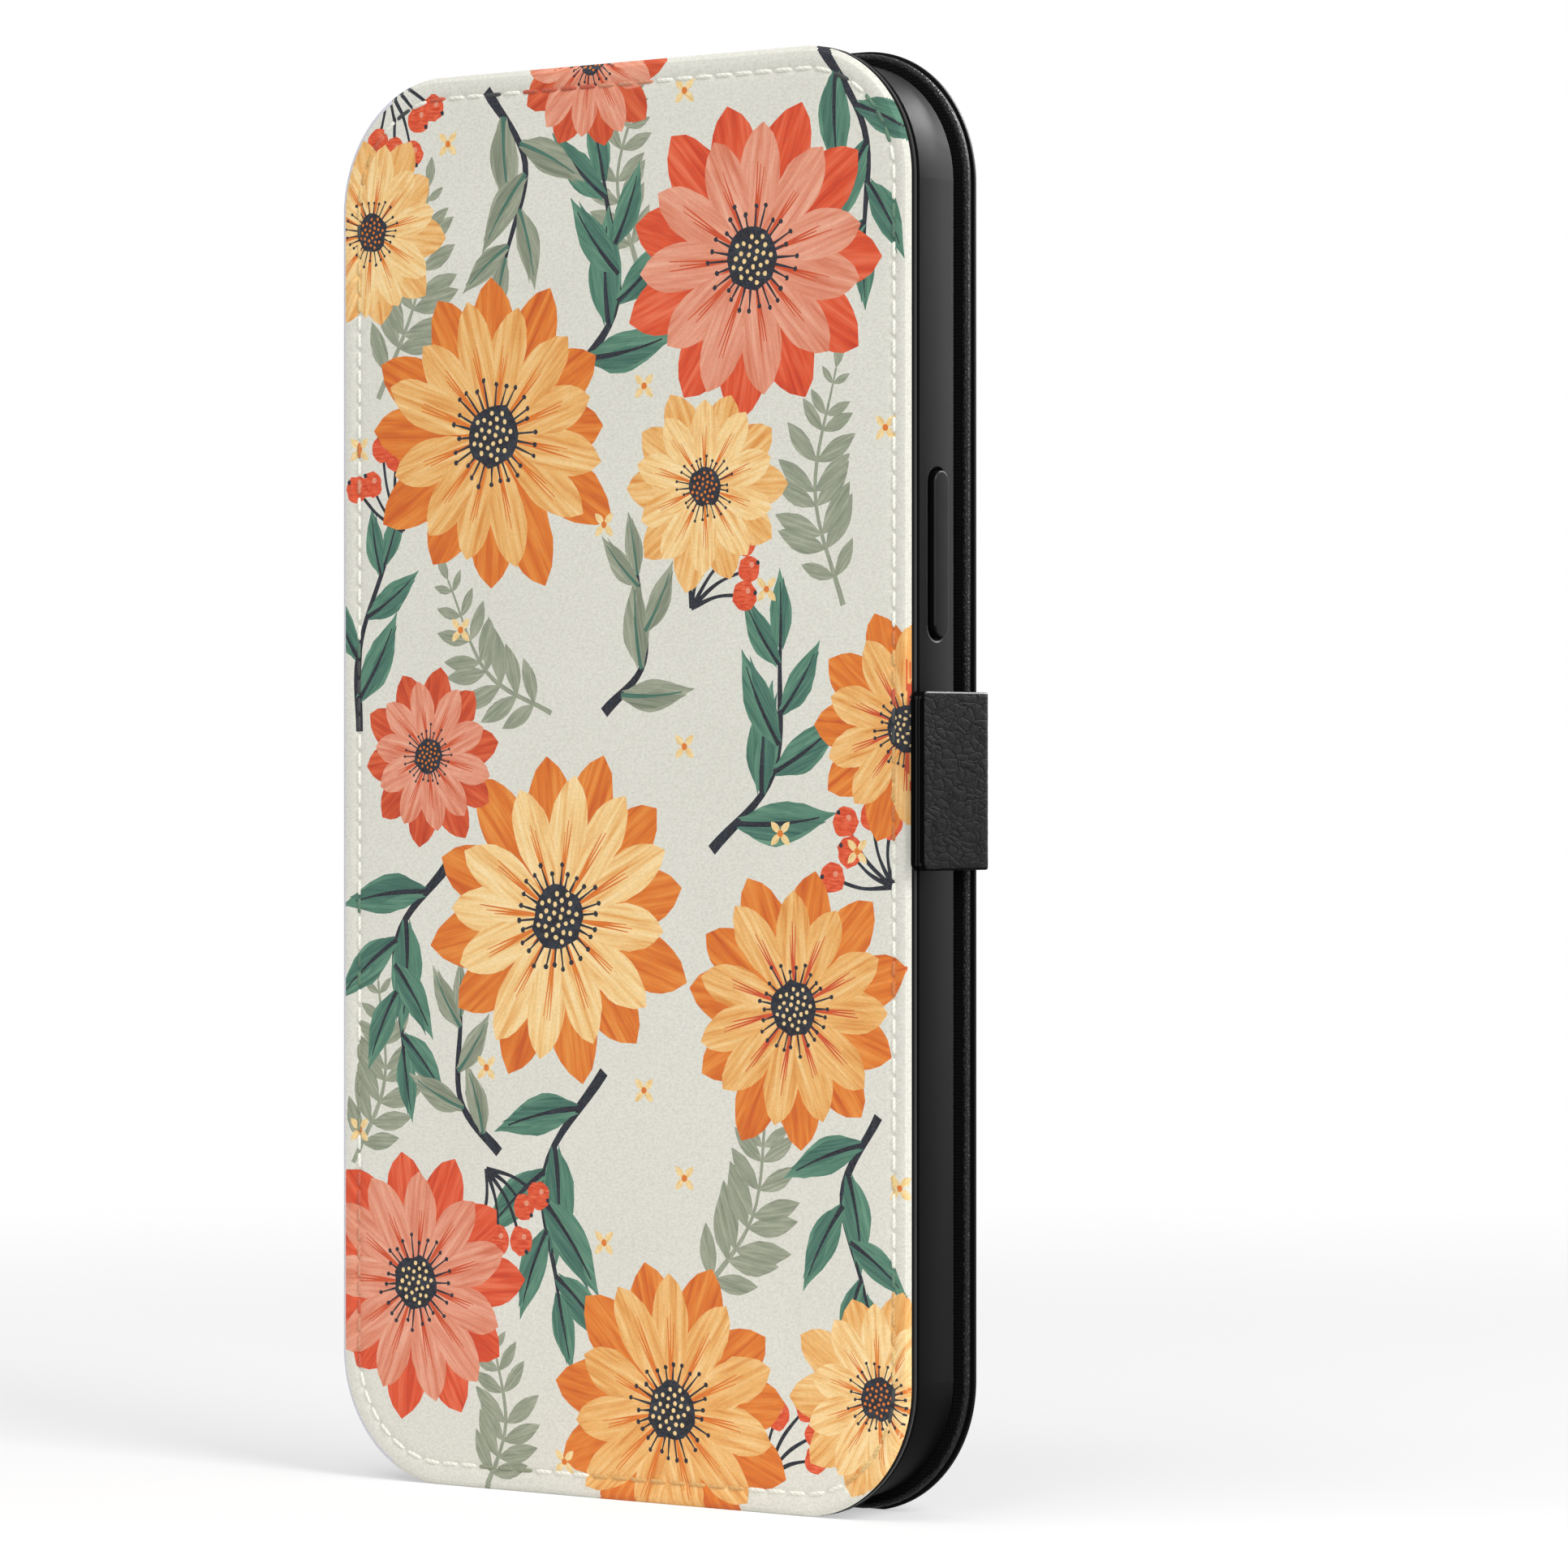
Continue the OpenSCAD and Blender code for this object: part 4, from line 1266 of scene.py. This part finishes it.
def pill(lo, hi, grow):
    """Outline of a cap from its node's box, grown by a distance: places (y, z)."""
    cy, cz = (lo[1] + hi[1]) / 2, (lo[2] + hi[2]) / 2
    rad, straight = (hi[1] - lo[1]) / 2 - CAP_FLANGE + grow, (hi[2] - lo[2] - hi[1] + lo[1]) / 2
    turns = [math.pi * k / (PILL_SEG - 1) for k in range(PILL_SEG)]
    return [(cy + rad * math.cos(a + half), cz + up + rad * math.sin(a + half))
            for half, up in ((0, straight), (math.pi, -straight)) for a in turns]


def build_cap(node, body, side):
    """Pill-shaped cap: rounded rim, faintly domed top, flange inside the wall."""
    lo, hi = node_box(node)
    depth, r = hi[0] - lo[0] + CAP_PROUD, CAP_ROUND
    rows = [(CAP_FLANGE, 0.0), (CAP_FLANGE, CAP_FLANGE_T), (0.0, CAP_FLANGE_T), (0.0, depth - r)]
    rows += [(-r * (1 - math.cos(a)), depth - r + r * math.sin(a)) for a in np.linspace(0.2, math.pi / 2, 7)]
    rows += [(-0.40, depth + 0.006), (-0.80, depth + 0.016), (-1.1, depth + 0.02)]
    verts = [(lo[0] + x if side > 0 else hi[0] - x, y, z) for grow, x in rows for y, z in pill(lo, hi, grow)]
    n = 2 * PILL_SEG
    ends = [tuple(reversed(range(n))), tuple(range((len(rows) - 1) * n, len(rows) * n))]
    faces = tube(len(rows), n, False) + ends
    # The rim is rubbed bright at its upper end, towards the front
    index = [3 <= k // n <= 9 and 4 <= k % n < PILL_SEG for k in range(len(faces))]
    obj = make_object(node + "_moulded", verts, faces, [CAP, RUBBED], index)
    settle(obj, body, "cap", node)


def build_lip(node, side):
    """Rounded lip around a cap's recess, level with the tray's bulging side."""
    lo, hi = node_box(node)
    reach, r, floor = 0.6, 0.25, 0.40   # the CAD recess past the cap, the lip's radius, the recess's depth
    arc = [(reach - r * math.sin(a), -r * (1 - math.cos(a))) for a in np.linspace(0, math.pi / 2, 7)]
    rows = arc + [(reach - r, -floor), (reach, -floor)]
    outer = pill(lo, hi, reach + 0.03)
    tray = NODES["shell"].data
    tree = BVHTree.FromPolygons([v.co for v in tray.vertices], [p.vertices for p in tray.polygons])
    inward = Vector((-side, 0, 0))
    face = [tree.ray_cast(Vector((side * 0.1, y * MM, z * MM)), inward)[0][0] / MM for y, z in outer]
    verts = [(x + side * h, y, z) for grow, h in rows for x, (y, z) in zip(face, pill(lo, hi, grow))]
    faces = tube(len(rows), len(outer), True)
    index = [k % len(outer) >= PILL_SEG for k in range(len(faces))]      # the lower end is rubbed bright
    obj = make_object(node.replace("_cap", "_recess_lip"), verts, faces, [SHELL, RUBBED], index)
    settle(obj, "back", "shell")


# ---- card pockets ------------------------------------------------------------------------------

HEM = 2.1                               # seam of a slot's hem below its top edge
PANEL_RIM, PANEL_MARGIN = 0.14, 0.8     # radius of a layer's edge, and its mesh points' distance from the edge


def build_panel(node, hem):
    """Flat pocket layer with soft edges and, on a card slot, a turned and sewn top hem."""
    lo, hi = node_box(node)
    mid = (lo + hi) / 2
    w, t, h = hi - lo
    flat = Outline(w, h, 0.7 if hem else 4.0)
    xs = np.linspace(-w / 2 + PANEL_MARGIN, w / 2 - PANEL_MARGIN, 48)
    zs = np.linspace(-h / 2 + PANEL_MARGIN, h / 2 - PANEL_MARGIN, 14 if hem else 60)
    if hem:
        zs = np.concatenate([zs, h / 2 - HEM + np.array([-0.8, -0.4, -0.2, 0, 0.2, 0.4, 0.8])])
    pts = np.array([(x, z) for x in xs for z in zs])
    pts = pts[flat.dist(pts) > 0.3]

    def lift(p, ids):
        top = h / 2 - p[:, 1]
        sag = 0.02 * np.sin(p[:, 0] * 0.21 + 1) * np.sin(p[:, 1] * 0.33)
        fold = 0.05 * bell(top, 0.9, 0.7) - 0.08 * bell(top, HEM, 0.3)
        return sag + (fold if hem else 0.0)

    def place(p, y):
        return np.column_stack([p[:, 0] + mid[0], hi[1] + y, p[:, 1] + mid[2]])

    verts, faces, tags, _ = sheet(flat, PANEL_RIM, place, lift, t, flat.loop(PANEL_RIM, 1.2), pts, e2=0.04)
    obj = make_object(node + "_leather", verts, faces, [POCKET, EDGE_GLOSS], tags > RIM)
    settle(obj, "cover", "pocket", node)
    if hem:
        count = int((w - 4) / PITCH)
        along, up, out = np.eye(3)[[0, 2, 1]]
        path = [(np.array([mid[0] + (k - (count - 1) / 2) * PITCH, hi[1], hi[2] - HEM]), along, up, out)
                for k in range(count)]
        build_stitches(node + "_stitches", path, THREAD_DARK, "cover", None, "thread_dark", lift=0.05)


# ---- carried-over nodes ------------------------------------------------------------------------

def finish_node(name, mat, bevel):
    """Material, and softened edges where asked, for a CAD node that is shown as it is."""
    obj = NODES[name]
    obj.data.materials.clear()
    obj.data.materials.append(mat)
    if bevel:
        mod = obj.modifiers.new("soft_edge", "BEVEL")
        mod.width = bevel * MM
        mod.segments = 2
        mod.limit_method = "ANGLE"
        mod.angle_limit = math.radians(50)


# Profiles around a cover's edge: inset, depth, number of the strip's material
FRONT_BEAD = [
    (0.78, -5.60, 0), (0.36, -5.60, 0), (0.10, -5.60, 0), (0.03, -5.565, 1), (0.0, -5.49, 1), (0.0, -5.22, 1),
    (0.03, -5.14, 2), (0.12, -5.09, 2), (0.78, -5.09, 2)]
FRONT_HEM = [
    (0.78, -5.07, 0), (0.12, -5.07, 0), (0.03, -4.98, 0), (0.02, -4.66, 0), (0.05, -4.54, 0), (0.13, -4.48, 0),
    (0.78, -4.48, 0)]
BACK_BEAD = [
    (0.78, 4.56, 0), (0.66, 4.54, 1), (0.44, 4.47, 1), (0.26, 4.49, 1), (0.12, 4.58, 1), (0.03, 4.74, 1),
    (0.0, 4.90, 1), (0.02, 5.02, 0), (0.16, 5.10, 0), (0.18, 5.52, 0), (0.78, 5.52, 0)]
BUTTONS = (("side_button", 1), ("volume_up", -1), ("volume_down", -1))

ART = build_front()
build_stitches("front_stitches", seam_path(Y_FRONT, -1), THREAD_PALE, "cover", "front_seam", "thread_pale",
               stitch_tints(ART))
build_stitches("front_stitches_inside", seam_path(Y_INSIDE, 1), THREAD_DARK, "cover", None, "thread_dark",
               lift=0.06)
# The bead's rows towards the lining, the hem behind it and the lining's rim take the extra-black edge paint:
# painted shade where the cover meets the tray. The hem also reaches past the lining towards the tray: partly a
# real turned edge, partly a dark band standing for the shade in the gap.
build_edge_bead("front_edge", "cover", [EDGE_SOFT, EDGE_FRONT, EDGE_BLACK_SHADE], FRONT_BEAD)
build_edge_bead("front_hem", "cover", [EDGE_BLACK_SHADE], FRONT_HEM)
build_lining("front_lining", "cover", 1, [SUEDE, EDGE_BLACK_SHADE], 0.16, 0.05)
build_back()
build_stitches("back_stitches", seam_path(Y_BACK, 1), THREAD_DARK, "back", "back_seam", "thread_dark")
build_edge_bead("back_edge", "back", [EDGE, EDGE_GRAIN], BACK_BEAD)
build_lining("back_lining", "back", -1, [CLOTH, EDGE], 0.10, 0.55, CAMERA)
build_spine()
build_clasp()
for cap_body, cap_side in BUTTONS:
    build_cap(cap_body + "_cap", cap_body, cap_side)
    build_lip(cap_body + "_cap", cap_side)
build_panel("pocket_panel", False)
for slot_name in ("card_slot_upper", "card_slot_middle", "card_slot_lower"):
    build_panel(slot_name, True)
for node_name, node_mat, node_bevel in (
        ("shell", SHELL, 0.0), ("spine_lining", SUEDE, 0.05), ("back_board", BOARD, 0.0),
        ("front_board", BOARD, 0.0), ("spine_board", BOARD, 0.0), ("bond_pad", FILM, 0.0),
        ("front_keeper", STEEL, 0.0), ("clasp_magnet", MAGNET, 0.0)):
    finish_node(node_name, node_mat, node_bevel)


# ---- floor, light and camera -------------------------------------------------------------------

FLOOR_HALF = 0.6                        # metres, as in all of this section
FLOOR_CLEAR, FLOOR_END = 0.16, 0.55     # the pale floor fades out between these distances
SKY_FILL = 0.40                         # the white background's strength as a light


def build_floor():
    """Pale floor that catches the shadow and fades into the background."""
    me = bpy.data.meshes.new("floor")
    corners = [(x * FLOOR_HALF, y * FLOOR_HALF, 0) for x, y in ((-1, -1), (1, -1), (1, 1), (-1, 1))]
    me.from_pydata(corners, [], [(0, 1, 2, 3)])
    floor = link_object("floor", me)
    m = Mat("floor_pale")
    m.tree.nodes.remove(m.bsdf)
    place = m.add("TexCoord").outputs["Object"]
    far = m.add("VectorMath", {0: place}, operation="LENGTH").outputs["Value"]
    fade = m.add("MapRange", {"Value": far, "From Min": FLOOR_CLEAR, "From Max": FLOOR_END},
                 interpolation_type="SMOOTHSTEP").outputs[0]
    diffuse = m.add("BsdfDiffuse", {"Color": (0.90, 0.90, 0.90, 1)}).outputs[0]
    clear = m.add("BsdfTransparent").outputs[0]
    glow = m.add("Emission", {"Strength": 1.0}).outputs[0]
    lit = m.add("MixShader", {0: m.math("MULTIPLY", m.seen(), 0.5), 1: diffuse, 2: glow}).outputs[0]
    surface = m.add("MixShader", {0: fade, 1: lit, 2: clear}).outputs[0]
    m.put(m.tree.nodes["Material Output"].inputs["Surface"], surface)
    me.materials.append(m.mat)


def build_sky():
    """White background, weaker as a light than it looks."""
    sky = bpy.data.worlds.new("studio")
    bpy.context.scene.world = sky
    sky.use_nodes = True
    n = Nodes(sky.node_tree)
    sockets = n.tree.nodes["Background"].inputs
    n.put(sockets["Color"], (1, 1, 1, 1))
    n.put(sockets["Strength"], n.level(n.seen(), 0.0, 1.0, SKY_FILL, 1.0))


def area(name, place, target, size, power):
    """Rectangular lamp that faces a target."""
    lamp = bpy.data.lights.new(name, "AREA")
    lamp.shape = "RECTANGLE"
    lamp.size, lamp.size_y = size
    lamp.energy = power
    obj = link_object(name, lamp)
    obj.location = place
    obj.rotation_euler = (Vector(target) - Vector(place)).to_track_quat("-Z", "Y").to_euler()
    return obj


def build_lights():
    """Three lamps for the whole case, and a pair behind each of its sides for the tray."""
    mid = (0, 0, 0.09)
    area("key_above", (-0.10, -0.55, 0.95), mid, (0.9, 0.5), 3.85)
    area("front_fill", (0.55, -1.00, 0.45), mid, (0.8, 0.8), 2.2)
    area("side_high", (0.85, -0.20, 0.72), mid, (0.4, 0.6), 9.0)
    tray = ["shell"] + [body + end for body, _ in BUTTONS for end in ("_cap_moulded", "_recess_lip")]
    edges = ["clasp_strap", "back_edge", "back_skin_leather"]
    for side, lit in ((1, tray + edges), (-1, tray)):
        corner = area("corner_%d" % (side + 1), (0.11 * side, 0.37 * side, 0.33), (0.04 * side, 0, 0.15),
                      (0.12, 0.26), 5.2)
        low = area("low_%d" % (side + 1), (0.05 * side, 0.41 * side, 0.12), (0.04 * side, 0, 0.09),
                   (0.12, 0.22), 2.8)
        link_light(corner, lit, tray[:1])
        link_light(low, tray, tray[:1])


def link_light(lamp, lit, blockers):
    """Rear lamp for the tray and the edges alone; the covers don't shade them from it."""
    for attr, names in (("receiver_collection", lit), ("blocker_collection", blockers)):
        group = bpy.data.collections.new(lamp.name + "_" + attr)
        for name in names:
            group.objects.link(bpy.data.objects[name])
        setattr(lamp.light_linking, attr, group)


# Camera fitted to the photo: level, turned around the front's middle; focal length and frame in pixels
CAM_YAW, CAM_FOCAL, CAM_FRAME = math.radians(37.5), 7848, 1932
CAM_RIGHT, CAM_DOWN, CAM_BACK = 0.01947, 0.00033, 0.7439


def build_camera():
    """Camera as the photo was taken."""
    right = Vector((math.cos(CAM_YAW), math.sin(CAM_YAW), 0))
    ahead = Vector((-math.sin(CAM_YAW), math.cos(CAM_YAW), 0))
    cam = bpy.data.cameras.new("camera")
    cam.sensor_width = 36
    cam.lens = CAM_FOCAL / CAM_FRAME * cam.sensor_width
    cam.clip_start, cam.clip_end = 0.02, 30
    obj = link_object("camera", cam)
    obj.location = Vector((CX * MM, Y_FRONT * MM, CZ * MM - CAM_DOWN)) + right * CAM_RIGHT - ahead * CAM_BACK
    obj.rotation_euler = ahead.to_track_quat("-Z", "Y").to_euler()
    bpy.context.scene.camera = obj


build_floor()
build_sky()
build_lights()
build_camera()
bpy.context.scene.view_settings.view_transform = "Standard"
